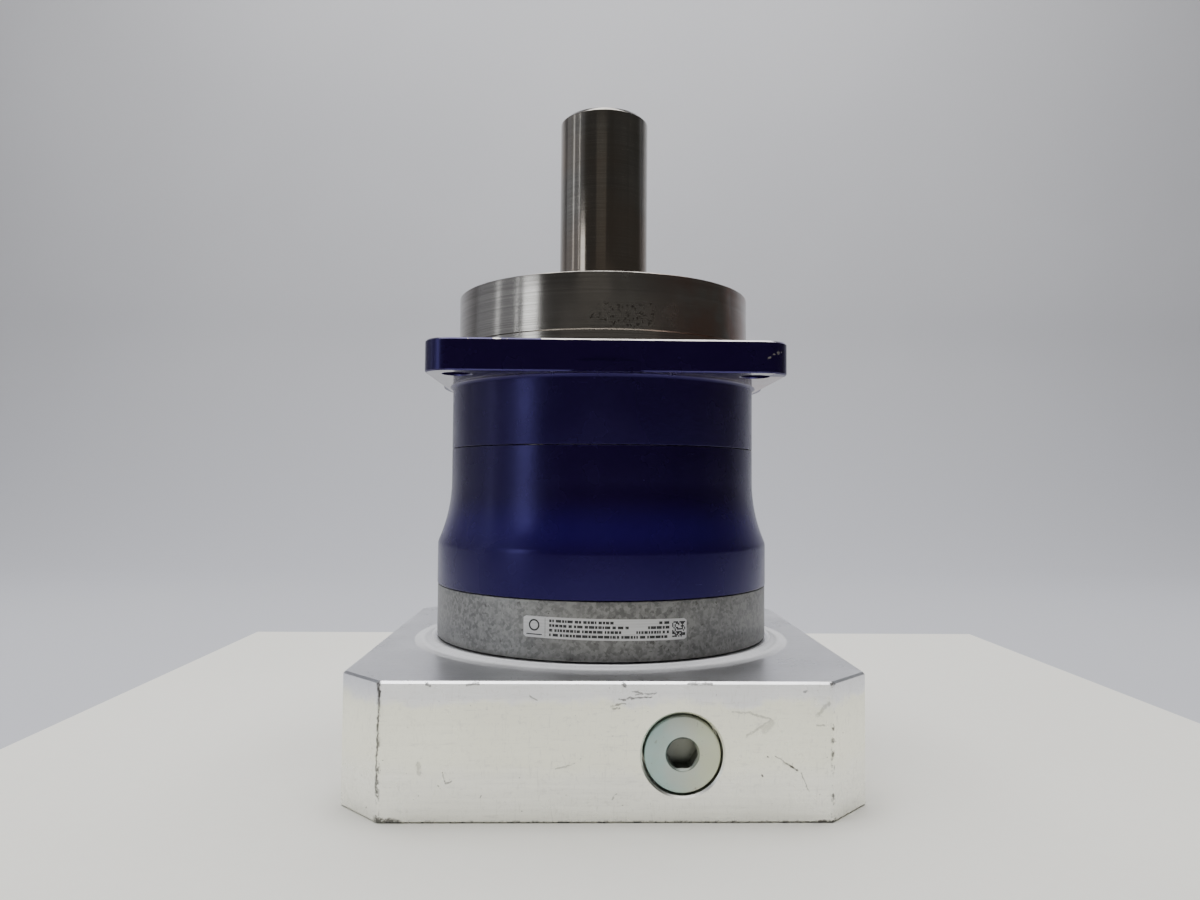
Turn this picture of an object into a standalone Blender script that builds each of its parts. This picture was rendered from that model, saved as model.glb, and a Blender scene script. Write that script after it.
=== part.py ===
"""Single-stage helical planetary gearbox with a square output flange and a square motor adapter plate.

Run with: blender --background --python part.py

The gearbox stands on its motor face: z = 0 is the face that the motor bolts to, +Z runs up the common axis
to the output shaft, and -Y is the side with the access hole of the clamping screw. Lengths below are in
millimetres; points are turned into metres when a mesh is made.
"""

import math

import bmesh
import bpy
from mathutils import Matrix, Vector

MM = 0.001
ROUND = 30  # sides of the large visible turned surfaces
INNER_ROUND = 20  # sides of turned pieces inside the housing
SMALL_ROUND = 8  # sides of screws, pins and washers
FIT = 0.3  # gap that faceted neighbours keep where the real pieces touch
LOOSE = 0.55  # the same between round pieces whose facets don't line up

# Levels along the axis
PLATE_TOP = 48.0
BOSS_TOP = 49.65
FLANGE_RING_BOTTOM = 49.95
FLANGE_RING_TOP = 72.4
BAND_TOP = 91.6
SEAM = 131.2
MOUNT_FACE_BOTTOM = 158.6
MOUNT_FACE_TOP = 171.1
PILOT_TOP = 198.5
SHOULDER_TOP = 201.1
SHAFT_TOP = 283.1

# Output side
SHAFT_R = 20.0
SHAFT_CHAMFER = 1.6
PILOT_R = 65.0
PILOT_RELIEF_R = 64.5
PILOT_RELIEF_TOP = 175.7
BODY_R = 67.6
BAND_R = 73.3
FLARE_R = 66.0  # radius of the hollow arc between the band and the body
FLARE_ANGLE = 22.0
SQUARE_HALF = 70.45
SQUARE_CORNER_R = 11.0
OUTPUT_BOLT_CIRCLE_R = 82.5
OUTPUT_BOLT_HOLE_R = 5.5
CENTRE_THREAD_R = 7.0
CENTRE_THREAD_DEPTH = 36.0

# Motor side
PLATE_HALF = 95.0
PLATE_CORNER_CUT = 16.7
MOTOR_PILOT_R = 90.0
MOTOR_PILOT_DEPTH = 6.0
MOTOR_BOLT_CIRCLE_R = 107.5
MOTOR_THREAD_R = 5.2
MOTOR_THREAD_DEPTH = 25.0
PLATE_BORE_R = 47.0
PLATE_SEAT_R = 55.3
BOSS_R = 75.4
BOSS_FOOT_R = 80.0
RING_R = 73.1
MOTOR_SHAFT_R = 19.0

# Access hole, its plug and the clamping screw share one line, parallel to Y
CLAMP_X = 26.2
CLAMP_Z = 23.1
ACCESS_R = 14.1
ACCESS_INNER_R = 11.0
ACCESS_STEP_DEPTH = 14.0
PLUG_R = 13.4
PLUG_LENGTH = 12.4
PLUG_RECESS = 0.6
PLUG_HEX = 10.0

# Gears: the ring stands still, the sun drives and the carrier is the output, so i = 1 + 54 / 18 = 4
MODULE = 2.1
SUN_TEETH = 18
PLANET_TEETH = 18
RING_TEETH = 54
PRESSURE_ANGLE = math.radians(20.4)
HELIX_ANGLE = math.radians(10.0)
TOOTH_THINNING = 0.14
ADDENDUM = 1.0 * MODULE
DEDENDUM = 1.25 * MODULE
GEAR_SLICES = 1
PLANETS = 3
PLANET_CIRCLE_R = MODULE * (SUN_TEETH + PLANET_TEETH) / 2
PLANET_BOTTOM = 93.4
PLANET_TOP = 121.4
SUN_BOTTOM = 92.6
SUN_TOP = 122.2
RING_BOTTOM = 92.0
RING_TOP = 124.0
MESH_LEVEL = (PLANET_BOTTOM + PLANET_TOP) / 2
PLANET_BORE_R = 11.0
PIN_R = 8.0
FIRST_PLANET = math.radians(90.0)

# Carrier
CHEEK_R = 53.5
CHEEK_BOTTOM = 84.6
WINDOW_BOTTOM = 92.0
WINDOW_TOP = 122.8
CHEEK_TOP = 132.0
WINDOW_R = 22.3
WASHER_THICK = 0.9

# Tapered roller bearings, in a back-to-back pair
LOWER_SHOULDER = 153.2
UPPER_SHOULDER = 163.8
LOWER_BORE_R, LOWER_CUP_R = 40.0, 55.0
UPPER_BORE_R, UPPER_CUP_R = 35.0, 50.0
ROLLERS = 12
SEAL_SEAT_R = 32.5
NUT_BOTTOM = 184.2
NUT_TOP = 189.8
SEAL_BOTTOM = 190.6
SEAL_TOP = 198.1

# Input shaft and its ball bearing
HUB_SEAT_R = 30.0
HUB_SEAL_R = 32.0
HUB_CLAMP_R = 42.0
HUB_BOTTOM = 8.0
CLAMP_TOP = 46.0
RACE_BOTTOM = 58.0
RACE_TOP = 76.0
RACE_SEAT_R = 47.5
BALLS = 10
BALL_R = 4.7
HUB_SHOULDER = 83.0
HUB_TOP = 91.6
MOTOR_SHAFT_DEPTH = 80.5
SUN_STEM_R = 12.0

# Joints between the castings
INPUT_SPIGOT_R = 60.5
INPUT_SPIGOT_TOP = 83.5
OUTPUT_SPIGOT_R = 61.0
OUTPUT_SPIGOT_BOTTOM = 127.5
FLANGE_SCREWS = 6
FLANGE_SCREW_CIRCLE_R = 66.3
FLANGE_SCREW_START = math.radians(15.0)
PLATE_SCREWS = 4
PLATE_SCREW_CIRCLE_R = 66.0


# ---------------------------------------------------------------- scene and materials


def clear_scene():
    for obj in list(bpy.data.objects):
        bpy.data.objects.remove(obj)


def material(name, colour, metallic, roughness):
    made = bpy.data.materials.new(name)
    made.use_nodes = True
    shader = made.node_tree.nodes["Principled BSDF"]
    shader.inputs["Base Color"].default_value = (*colour, 1.0)
    shader.inputs["Metallic"].default_value = metallic
    shader.inputs["Roughness"].default_value = roughness
    made.diffuse_color = (*colour, 1.0)
    return made


def make_materials():
    return {
        "blue_paint": material("blue_paint", (0.025, 0.015, 0.16), 0.35, 0.32),
        "steel": material("steel", (0.42, 0.41, 0.40), 1.0, 0.25),
        "hard_steel": material("hard_steel", (0.52, 0.52, 0.53), 1.0, 0.18),
        "gear_steel": material("gear_steel", (0.36, 0.36, 0.37), 1.0, 0.35),
        "cast_aluminium": material("cast_aluminium", (0.45, 0.45, 0.44), 0.9, 0.5),
        "machined_aluminium": material("machined_aluminium", (0.80, 0.80, 0.77), 1.0, 0.3),
        "zinc": material("zinc", (0.60, 0.66, 0.60), 0.8, 0.4),
        "black_oxide": material("black_oxide", (0.05, 0.05, 0.055), 0.8, 0.45),
        "brass": material("brass", (0.72, 0.52, 0.22), 1.0, 0.3),
        "rubber": material("rubber", (0.02, 0.02, 0.02), 0.0, 0.6),
        "label": material("label", (0.72, 0.72, 0.72), 0.3, 0.4),
    }


def empty(name, location=(0.0, 0.0, 0.0), parent=None):
    """A joint's axis or a fixed frame: its pieces are parented to it."""
    made = bpy.data.objects.new(name, None)
    bpy.context.scene.collection.objects.link(made)
    made.location = Vector(location) * MM
    made.parent = parent
    return made


def as_object(name, bm, look, parent, smooth_angle=35.0):
    bmesh.ops.recalc_face_normals(bm, faces=bm.faces)
    mesh = bpy.data.meshes.new(name)
    bm.to_mesh(mesh)
    bm.free()
    mesh.shade_smooth()
    mesh.set_sharp_from_angle(angle=math.radians(smooth_angle))
    mesh.materials.append(look)
    obj = bpy.data.objects.new(name, mesh)
    bpy.context.scene.collection.objects.link(obj)
    obj.parent = parent
    return obj


# ---------------------------------------------------------------- shapes, all in millimetres


def turned(name, profile, look, parent, sides=INNER_ROUND):
    """A closed (radius, height) profile spun about Z."""
    bm = bmesh.new()
    verts = [bm.verts.new(Vector((r, 0.0, z)) * MM) for r, z in profile]
    edges = [bm.edges.new((a, b)) for a, b in zip(verts, verts[1:] + verts[:1])]
    bmesh.ops.spin(bm, geom=verts + edges, cent=(0, 0, 0), axis=(0, 0, 1), dvec=(0, 0, 0),
                   angle=math.tau, steps=sides, use_merge=True, use_duplicate=False)
    bmesh.ops.remove_doubles(bm, verts=bm.verts, dist=1e-7)
    return as_object(name, bm, look, parent)


def lofted(name, rings, look, parent):
    """Outlines with the same number of points, joined side by side and capped at both ends."""
    bm = bmesh.new()
    loops = [[bm.verts.new(Vector(point) * MM) for point in ring] for ring in rings]
    for low, high in zip(loops, loops[1:]):
        for i, corner in enumerate(low):
            j = (i + 1) % len(low)
            bm.faces.new((corner, low[j], high[j], high[i]))
    bm.faces.new(loops[0][::-1])
    bm.faces.new(loops[-1])
    return as_object(name, bm, look, parent)


def prism(name, outline, bottom, top, look, parent):
    return lofted(name, [[(x, y, z) for x, y in outline] for z in (bottom, top)], look, parent)


def circle(radius, sides, centre=(0.0, 0.0), start=0.0):
    steps = [polar(radius, start + math.tau * i / sides) for i in range(sides)]
    return [(centre[0] + x, centre[1] + y) for x, y in steps]


def hexagon(across_flats):
    return circle(across_flats / 2 / math.cos(math.pi / 6), 6)


def arc(centre, radius, start, end, steps):
    """Points of an arc, with its angles in degrees."""
    points = []
    for i in range(steps + 1):
        a = math.radians(start + (end - start) * i / steps)
        points.append((centre[0] + radius * math.cos(a), centre[1] + radius * math.sin(a)))
    return points


def rounded_square(half, corner_r, steps):
    flat = half - corner_r
    outline = []
    for quarter, (sx, sy) in enumerate(((1, 1), (-1, 1), (-1, -1), (1, -1))):
        outline += arc((sx * flat, sy * flat), corner_r, 90 * quarter, 90 * quarter + 90, steps)
    return outline


def cut_square(half, corner_cut):
    """A square with its four corners cut off at 45 degrees."""
    short = half - corner_cut
    return [(half, -short), (half, short), (short, half), (-short, half),
            (-half, short), (-half, -short), (-short, -half), (short, -half)]


def box_outline(x0, x1, y0, y1):
    return [(x0, y0), (x1, y0), (x1, y1), (x0, y1)]


def polar(radius, angle):
    return round(radius * math.cos(angle), 6), round(radius * math.sin(angle), 6)


def moved(obj, location=(0.0, 0.0, 0.0), rotation=(0.0, 0.0, 0.0)):
    obj.location = Vector(location) * MM
    obj.rotation_euler = rotation
    return obj


def boolean(target, tool, operation):
    """Joins or cuts target with a tool that stays in the file as a hidden guide."""
    tool.hide_render = True
    tool.display_type = "WIRE"
    modifier = target.modifiers.new(tool.name, "BOOLEAN")
    modifier.operation = operation
    modifier.object = tool


def cut(target, *tools):
    for tool in tools:
        boolean(target, tool, "DIFFERENCE")


def join(target, *tools):
    for tool in tools:
        boolean(target, tool, "UNION")


ALONG_MINUS_Y = (math.pi / 2, 0.0, 0.0)  # turns a piece's own +Z to -Y


def stepped_hole(name, centre, wide_r, narrow_r, bottom, step, top, look, parent):
    """A cutter for a counterbored hole: wide from bottom to step, narrow from step to top."""
    hole = turned(name, [(0, bottom), (wide_r, bottom), (wide_r, step), (narrow_r, step), (narrow_r, top), (0, top)],
                  look, parent, SMALL_ROUND)
    return moved(hole, (*centre, 0.0))


# ---------------------------------------------------------------- gear teeth


def involute(angle):
    return math.tan(angle) - angle


def tooth_outline(teeth, addendum, dedendum, thickening, first_tooth, flank_points):
    """An involute spur outline with a tooth centred on first_tooth."""
    pitch_r = MODULE * teeth / 2
    base_r = pitch_r * math.cos(PRESSURE_ANGLE)
    half_pitch_angle = (math.pi * MODULE / 2 + thickening) / 2 / pitch_r
    root_r, tip_r = pitch_r - dedendum, pitch_r + addendum

    def half_width(radius):
        if radius < base_r:
            radius = base_r
        return half_pitch_angle + involute(PRESSURE_ANGLE) - involute(math.acos(base_r / radius))

    heights = [root_r + (tip_r - root_r) * i / (flank_points - 1) for i in range(flank_points)]
    outline = []
    for i in range(teeth):
        centre = first_tooth + math.tau * i / teeth
        outline += [polar(r, centre - half_width(r)) for r in heights]
        outline += [polar(r, centre + half_width(r)) for r in reversed(heights)]
    return outline


def helical(name, teeth, outline, bottom, top, hand, look, parent):
    """The outline lofted from bottom to top, twisting so that it is square to the axis at the mesh level."""
    pitch_r = MODULE * teeth / 2
    rings = []
    for i in range(GEAR_SLICES + 1):
        z = bottom + (top - bottom) * i / GEAR_SLICES
        turn = Matrix.Rotation(hand * (z - MESH_LEVEL) * math.tan(HELIX_ANGLE) / pitch_r, 3, "Z")
        rings.append([turn @ Vector((x, y, 0.0)) + Vector((0.0, 0.0, z)) for x, y in outline])
    return lofted(name, rings, look, parent)


def planet_angle(index):
    return FIRST_PLANET + math.tau * index / PLANETS


def planet_first_tooth(index):
    """The angle that puts a gap of the planet on the sun's tooth, where the two pitch circles touch."""
    phi = planet_angle(index)
    sun_phase = -phi * SUN_TEETH / math.tau
    return phi + math.pi - (sun_phase + 0.5) * math.tau / PLANET_TEETH


def ring_first_space():
    """The angle that puts a gap of the ring on the first planet's tooth."""
    phi = planet_angle(0)
    planet_phase = (planet_first_tooth(0) - phi) * PLANET_TEETH / math.tau
    return phi + planet_phase * math.tau / RING_TEETH


# ---------------------------------------------------------------- fasteners and bearings


def socket_screw(name, shank_r, length, head_r, head_h, hex_size, look, parent):
    """A cap screw along its own Z: the shank runs up from z = 0, and the head with its socket hangs below."""
    screw = turned(name, [(0, length), (0, -head_h), (head_r, -head_h), (head_r, 0),
                          (shank_r, 0), (shank_r, length)], look, parent, SMALL_ROUND)
    socket = prism(name + "_socket", hexagon(hex_size), -head_h - 1, -head_h * 0.45, look, parent)
    cut(screw, socket)
    return screw, socket


def tapered_bearing(prefix, bore_r, cup_r, shoulder, way, looks, frames):
    """Cup, cone and caged rollers. way is +1 where the rollers' large ends point up, and -1 where they point down."""
    centre_r = (bore_r + cup_r) / 2
    roller_r, roller_half, middle = 3.4, 6.3, 10.5
    cup_slope, cone_slope = math.tan(math.radians(12.0)), math.tan(math.radians(9.0))
    tilt = math.radians(10.5)

    def at(points):
        return [(r, shoulder + way * t) for r, t in points]

    def cup_race(t):
        return centre_r + roller_r + FIT + (t - middle) * cup_slope

    def cone_race(t):
        return centre_r - roller_r - FIT + (t - middle) * cone_slope

    cup_low, cup_high = 0.2, 16.0
    turned(prefix + "_cup", at([(cup_r - LOOSE, cup_low), (cup_r - LOOSE, cup_high),
                                (cup_race(cup_high), cup_high), (cup_race(cup_low), cup_low)]),
           looks["hard_steel"], frames["housing"], 2 * ROLLERS)
    small_end, small_rib, big_rib, big_end = 2.0, 3.2, 17.9, 20.0
    cone = [(bore_r + LOOSE, small_end), (bore_r + LOOSE, big_end),
            (cone_race(big_rib) + 1.8, big_end), (cone_race(big_rib) + 1.8, big_rib),
            (cone_race(big_rib), big_rib), (cone_race(small_rib), small_rib),
            (cone_race(small_rib) + 1.2, small_rib), (cone_race(small_rib) + 1.2, small_end)]
    turned(prefix + "_cone", at(cone), looks["hard_steel"], frames["output"], 2 * ROLLERS)

    cage_half, cage_low, cage_high = 0.7, 3.0, 18.2
    cage_slope = math.tan(tilt)
    cage = [(centre_r + (t - middle) * cage_slope + side * cage_half, t)
            for t, side in ((cage_low, -1), (cage_high, -1), (cage_high, 1), (cage_low, 1))]
    caged = turned(prefix + "_rollers", at(cage), looks["gear_steel"], frames[prefix + "_rollers"],
                   2 * ROLLERS)

    bm = bmesh.new()
    taper = roller_half * math.tan(math.radians(1.5))
    for i in range(ROLLERS):
        made = bmesh.ops.create_cone(bm, cap_ends=True, segments=6, depth=2 * roller_half * MM,
                                     radius1=(roller_r - taper) * MM, radius2=(roller_r + taper) * MM)
        place = (Matrix.Rotation(math.tau * i / ROLLERS, 4, "Z")
                 @ Matrix.Translation(Vector((centre_r, 0.0, shoulder + way * middle)) * MM)
                 @ Matrix.Rotation(way * tilt, 4, "Y")
                 @ Matrix.Scale(way, 4, (0, 0, 1)))
        bmesh.ops.transform(bm, matrix=place, verts=made["verts"])
    join(caged, as_object(prefix + "_roller_set", bm, looks["hard_steel"], frames[prefix + "_rollers"]))


def ball_bearing(looks, frames):
    centre_r = (HUB_SEAT_R + RACE_SEAT_R) / 2
    middle = (RACE_BOTTOM + RACE_TOP) / 2
    groove_half, groove_r, outer_groove_r = 4.3, BALL_R + FIT, BALL_R + LOOSE + 0.2
    inner_land, outer_land = centre_r - 3.0, centre_r + 3.0 + FIT
    inner = [(HUB_SEAT_R + FIT, RACE_BOTTOM + FIT), (inner_land, RACE_BOTTOM + FIT),
             (inner_land, middle - groove_half), (centre_r - groove_r, middle - 1.2),
             (centre_r - groove_r, middle + 1.2), (inner_land, middle + groove_half),
             (inner_land, RACE_TOP), (HUB_SEAT_R + FIT, RACE_TOP)]
    turned("input_bearing_inner_race", inner, looks["hard_steel"], frames["input"])
    outer = [(RACE_SEAT_R - LOOSE, RACE_BOTTOM + FIT), (RACE_SEAT_R - LOOSE, RACE_TOP),
             (outer_land, RACE_TOP), (outer_land, middle + groove_half),
             (centre_r + outer_groove_r, middle + 1.2), (centre_r + outer_groove_r, middle - 1.2),
             (outer_land, middle - groove_half), (outer_land, RACE_BOTTOM + FIT)]
    turned("input_bearing_outer_race", outer, looks["hard_steel"], frames["housing"])
    cage_half_width, cage_half_height = 1.1, 3.4
    caged = turned("input_bearing_balls",
                   [(centre_r - cage_half_width, middle - cage_half_height),
                    (centre_r + cage_half_width, middle - cage_half_height),
                    (centre_r + cage_half_width, middle + cage_half_height),
                    (centre_r - cage_half_width, middle + cage_half_height)],
                   looks["brass"], frames["input_balls"])
    bm = bmesh.new()
    for i in range(BALLS):
        x, y = polar(centre_r, math.tau * i / BALLS)
        made = bmesh.ops.create_uvsphere(bm, u_segments=6, v_segments=4, radius=BALL_R * MM)
        bmesh.ops.translate(bm, verts=made["verts"], vec=Vector((x, y, middle)) * MM)
    join(caged, as_object("ball_set", bm, looks["hard_steel"], frames["input_balls"]))


def retaining_ring(name, inner_r, outer_r, bottom, top, look, parent):
    """A C-shaped ring, open over 24 degrees on its +Y side."""
    outline = arc((0, 0), outer_r, 102, 438, 20) + arc((0, 0), inner_r, 438, 102, 20)
    return prism(name, outline, bottom, top, look, parent)


def o_ring(name, centre_r, z, section_r, look, parent):
    section = [(centre_r + x, z + y) for x, y in circle(section_r, 5)]
    return turned(name, section, look, parent, ROUND)


# ---------------------------------------------------------------- housing


def make_output_housing(looks, frames):
    """Square mounting flange, pilot and the seats of both tapered bearings."""
    fillet_r = 1.5
    fillet = arc((BODY_R + fillet_r, MOUNT_FACE_BOTTOM - fillet_r), fillet_r, 180, 90, 3)
    inside_flange = MOUNT_FACE_BOTTOM + 4.0
    profile = [(BODY_R, SEAM + FIT / 2), *fillet[:-1],
               (BODY_R + fillet_r, MOUNT_FACE_BOTTOM + 0.5), (BODY_R + fillet_r, inside_flange),
               (PILOT_RELIEF_R, inside_flange), (PILOT_RELIEF_R, PILOT_RELIEF_TOP),
               (PILOT_R, PILOT_RELIEF_TOP + 0.4), (PILOT_R, PILOT_TOP - 1.0), (PILOT_R - 0.9, PILOT_TOP),
               (UPPER_CUP_R + 1.0, PILOT_TOP), (UPPER_CUP_R, PILOT_TOP - 1.0),
               (UPPER_CUP_R, UPPER_SHOULDER), (UPPER_CUP_R - 6.0, UPPER_SHOULDER),
               (UPPER_CUP_R - 6.0, LOWER_SHOULDER), (LOWER_CUP_R, LOWER_SHOULDER),
               (LOWER_CUP_R, OUTPUT_SPIGOT_BOTTOM), (OUTPUT_SPIGOT_R, OUTPUT_SPIGOT_BOTTOM),
               (OUTPUT_SPIGOT_R, OUTPUT_SPIGOT_BOTTOM + 0.7), (OUTPUT_SPIGOT_R - 1.8, OUTPUT_SPIGOT_BOTTOM + 0.7),
               (OUTPUT_SPIGOT_R - 1.8, OUTPUT_SPIGOT_BOTTOM + 2.9), (OUTPUT_SPIGOT_R, OUTPUT_SPIGOT_BOTTOM + 2.9),
               (OUTPUT_SPIGOT_R, SEAM + FIT / 2)]
    housing = turned("output_housing", profile, looks["blue_paint"], frames["housing"], ROUND)
    square = prism("output_square", rounded_square(SQUARE_HALF, SQUARE_CORNER_R, 5),
                   MOUNT_FACE_BOTTOM, MOUNT_FACE_TOP, looks["blue_paint"], frames["housing"])
    square_bore = prism("output_square_bore", circle(PILOT_RELIEF_R - 3.0, ROUND),
                        MOUNT_FACE_BOTTOM - 5, MOUNT_FACE_TOP + 5, looks["blue_paint"], frames["housing"])
    cut(square, square_bore)
    join(housing, square)
    for i in range(4):
        centre = polar(OUTPUT_BOLT_CIRCLE_R, math.pi / 4 + math.pi / 2 * i)
        cut(housing, prism(f"output_bolt_hole_{i + 1}", circle(OUTPUT_BOLT_HOLE_R, 16, centre),
                           MOUNT_FACE_BOTTOM - 5, MOUNT_FACE_TOP + 5, looks["blue_paint"], frames["housing"]))
    o_ring("housing_o_ring", OUTPUT_SPIGOT_R - 0.85, OUTPUT_SPIGOT_BOTTOM + 1.8, 0.8,
           looks["rubber"], frames["housing"])


def flare_profile():
    """The outside from the band up to the body: a rounded edge, then a hollow arc that runs out into the body."""
    slope = math.radians(FLARE_ANGLE)
    flare_centre = (BODY_R + FLARE_R, BAND_TOP + FLARE_R * math.sin(slope) + 1.0)
    hollow = arc(flare_centre, FLARE_R, 180 + FLARE_ANGLE, 180, 4)
    return [(BAND_R, BAND_TOP - 2.2), (BAND_R - 0.25, BAND_TOP - 0.4), *hollow]


def make_ring_gear_housing(looks, frames):
    """The ring gear is cut straight into this housing."""
    tooth_bore_r = MODULE * RING_TEETH / 2 - ADDENDUM - 2.0
    bore_r = MODULE * RING_TEETH / 2 + DEDENDUM + 0.4
    seat_r = INPUT_SPIGOT_R + FIT
    profile = [(BAND_R, FLANGE_RING_TOP + FIT), *flare_profile(), (BODY_R, SEAM - FIT / 2),
               (OUTPUT_SPIGOT_R + FIT, SEAM - FIT / 2), (OUTPUT_SPIGOT_R + FIT, OUTPUT_SPIGOT_BOTTOM - FIT),
               (bore_r, OUTPUT_SPIGOT_BOTTOM - FIT), (bore_r, RING_TOP), (tooth_bore_r, RING_TOP),
               (tooth_bore_r, RING_BOTTOM), (bore_r, RING_BOTTOM), (bore_r, INPUT_SPIGOT_TOP + FIT),
               (seat_r, INPUT_SPIGOT_TOP + FIT), (seat_r, FLANGE_RING_TOP + FIT)]
    housing = turned("ring_gear_housing", profile, looks["blue_paint"], frames["housing"], ROUND)
    spaces = tooth_outline(RING_TEETH, DEDENDUM, ADDENDUM, TOOTH_THINNING, ring_first_space(), 3)
    cut(housing, helical("ring_gear_cutter", RING_TEETH, spaces, RING_BOTTOM - 2, RING_TOP + 1.5, -1,
                         looks["gear_steel"], frames["housing"]))
    for i in range(FLANGE_SCREWS):
        centre = polar(FLANGE_SCREW_CIRCLE_R, FLANGE_SCREW_START + math.tau * i / FLANGE_SCREWS)
        cut(housing, prism(f"ring_housing_thread_{i + 1}", circle(3.0 + FIT, SMALL_ROUND, centre),
                           FLANGE_RING_TOP - 5, 87.0, looks["steel"], frames["housing"]))


def make_input_flange(looks, frames):
    """Cast ring that carries the input bearing and closes the gear chamber."""
    spigot = INPUT_SPIGOT_R
    profile = [(RING_R - 0.5, FLANGE_RING_BOTTOM), (RING_R, FLANGE_RING_BOTTOM + 0.5), (RING_R, FLANGE_RING_TOP),
               (spigot, FLANGE_RING_TOP), (spigot, 77.2), (spigot - 2.1, 77.2), (spigot - 2.1, 80.0),
               (spigot, 80.0), (spigot, INPUT_SPIGOT_TOP),
               (RACE_SEAT_R + 0.3, INPUT_SPIGOT_TOP), (RACE_SEAT_R + 0.3, 79.0), (RACE_SEAT_R + 3.2, 79.0),
               (RACE_SEAT_R + 3.2, 76.4), (RACE_SEAT_R + 0.3, 76.4), (RACE_SEAT_R + 0.3, RACE_BOTTOM),
               (39.0, RACE_BOTTOM), (39.0, 55.9), (42.4, 55.9), (42.4, 46.2), (PLATE_SEAT_R - FIT, 46.2),
               (PLATE_SEAT_R - FIT, FLANGE_RING_BOTTOM)]
    flange = turned("input_flange", profile, looks["cast_aluminium"], frames["housing"], ROUND)
    for i in range(FLANGE_SCREWS):
        centre = polar(FLANGE_SCREW_CIRCLE_R, FLANGE_SCREW_START + math.tau * i / FLANGE_SCREWS)
        cut(flange, stepped_hole(f"flange_screw_hole_{i + 1}", centre, 5.0 + FIT, 3.0 + FIT, 40.0, 57.5, 80.0,
                                 looks["steel"], frames["housing"]))
        for piece in socket_screw(f"flange_screw_{i + 1}", 3.0, 28.0, 5.0, 6.0, 5.0,
                                  looks["black_oxide"], frames["housing"]):
            moved(piece, (*centre, 57.5 - FIT))
    for i in range(PLATE_SCREWS):
        centre = polar(PLATE_SCREW_CIRCLE_R, math.tau * i / PLATE_SCREWS)
        cut(flange, prism(f"flange_thread_{i + 1}", circle(4.0 + FIT, SMALL_ROUND, centre), 40.0, 64.0,
                          looks["steel"], frames["housing"]))
    o_ring("flange_o_ring", INPUT_SPIGOT_R - 0.85, 78.6, 0.95, looks["rubber"], frames["housing"])


def make_adapter_plate(looks, frames):
    """Machined plate between the motor and the gearhead."""
    plate = prism("adapter_plate", cut_square(PLATE_HALF, PLATE_CORNER_CUT), 0.0, PLATE_TOP,
                  looks["machined_aluminium"], frames["housing"])
    foot = arc((BOSS_FOOT_R, PLATE_TOP + 4.6), 4.6, 235, 270, 3)[::-1]
    boss = turned("plate_boss", [(PLATE_BORE_R, PLATE_TOP - 3.0), (BOSS_FOOT_R, PLATE_TOP - 3.0), *foot[1:],
                                 (BOSS_R, BOSS_TOP), (PLATE_BORE_R, BOSS_TOP)],
                  looks["machined_aluminium"], frames["housing"], ROUND)
    join(plate, boss)
    bore = turned("plate_bore", [(0, -1), (MOTOR_PILOT_R, -1), (MOTOR_PILOT_R, MOTOR_PILOT_DEPTH),
                                 (PLATE_BORE_R, MOTOR_PILOT_DEPTH), (PLATE_BORE_R, 45.9),
                                 (PLATE_SEAT_R, 45.9), (PLATE_SEAT_R, 60), (0, 60)],
                  looks["machined_aluminium"], frames["housing"], ROUND)
    cut(plate, bore)
    for i in range(4):
        centre = polar(MOTOR_BOLT_CIRCLE_R, math.pi / 4 + math.pi / 2 * i)
        cut(plate, prism(f"motor_thread_{i + 1}", circle(MOTOR_THREAD_R, SMALL_ROUND, centre), -1,
                         MOTOR_THREAD_DEPTH, looks["machined_aluminium"], frames["housing"]))
    for i in range(PLATE_SCREWS):
        centre = polar(PLATE_SCREW_CIRCLE_R, math.tau * i / PLATE_SCREWS)
        cut(plate, stepped_hole(f"plate_screw_hole_{i + 1}", centre, 7.0, 4.0 + FIT, 4.0, 17.7, 60.0,
                                looks["machined_aluminium"], frames["housing"]))
        for piece in socket_screw(f"plate_screw_{i + 1}", 4.0, 44.0, 6.5, 8.0, 6.0,
                                  looks["black_oxide"], frames["housing"]):
            moved(piece, (*centre, 17.7 - FIT))
    access = turned("access_hole", [(0, -1), (ACCESS_R, -1), (ACCESS_R, ACCESS_STEP_DEPTH),
                                    (ACCESS_INNER_R, ACCESS_STEP_DEPTH), (ACCESS_INNER_R, 70), (0, 70)],
                    looks["machined_aluminium"], frames["housing"], 20)
    cut(plate, moved(access, (CLAMP_X, -PLATE_HALF, CLAMP_Z), (-math.pi / 2, 0.0, 0.0)))


def make_access_plug(looks, frames):
    chamfer = 0.6
    plug = turned("access_plug", [(0, 0), (PLUG_R - 1.0, 0), (PLUG_R, 1.0), (PLUG_R, PLUG_LENGTH - chamfer),
                                  (PLUG_R - chamfer, PLUG_LENGTH), (0, PLUG_LENGTH)],
                  looks["zinc"], frames["access_plug"], 20)
    hex_corner_r = PLUG_HEX / 2 / math.cos(math.pi / 6)
    socket = prism("plug_socket", hexagon(PLUG_HEX), 5.0, PLUG_LENGTH + 1, looks["zinc"], frames["access_plug"])
    mouth = turned("plug_socket_mouth", [(0, PLUG_LENGTH - 1.2), (hex_corner_r - 0.6, PLUG_LENGTH - 1.2),
                                         (hex_corner_r, PLUG_LENGTH + 0.2), (0, PLUG_LENGTH + 0.2)],
                   looks["zinc"], frames["access_plug"], 12)
    cut(plug, socket, mouth)
    inner_end = -PLATE_HALF + PLUG_RECESS + PLUG_LENGTH
    for piece in (plug, socket, mouth):
        moved(piece, (CLAMP_X, inner_end, CLAMP_Z), ALONG_MINUS_Y)


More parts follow.
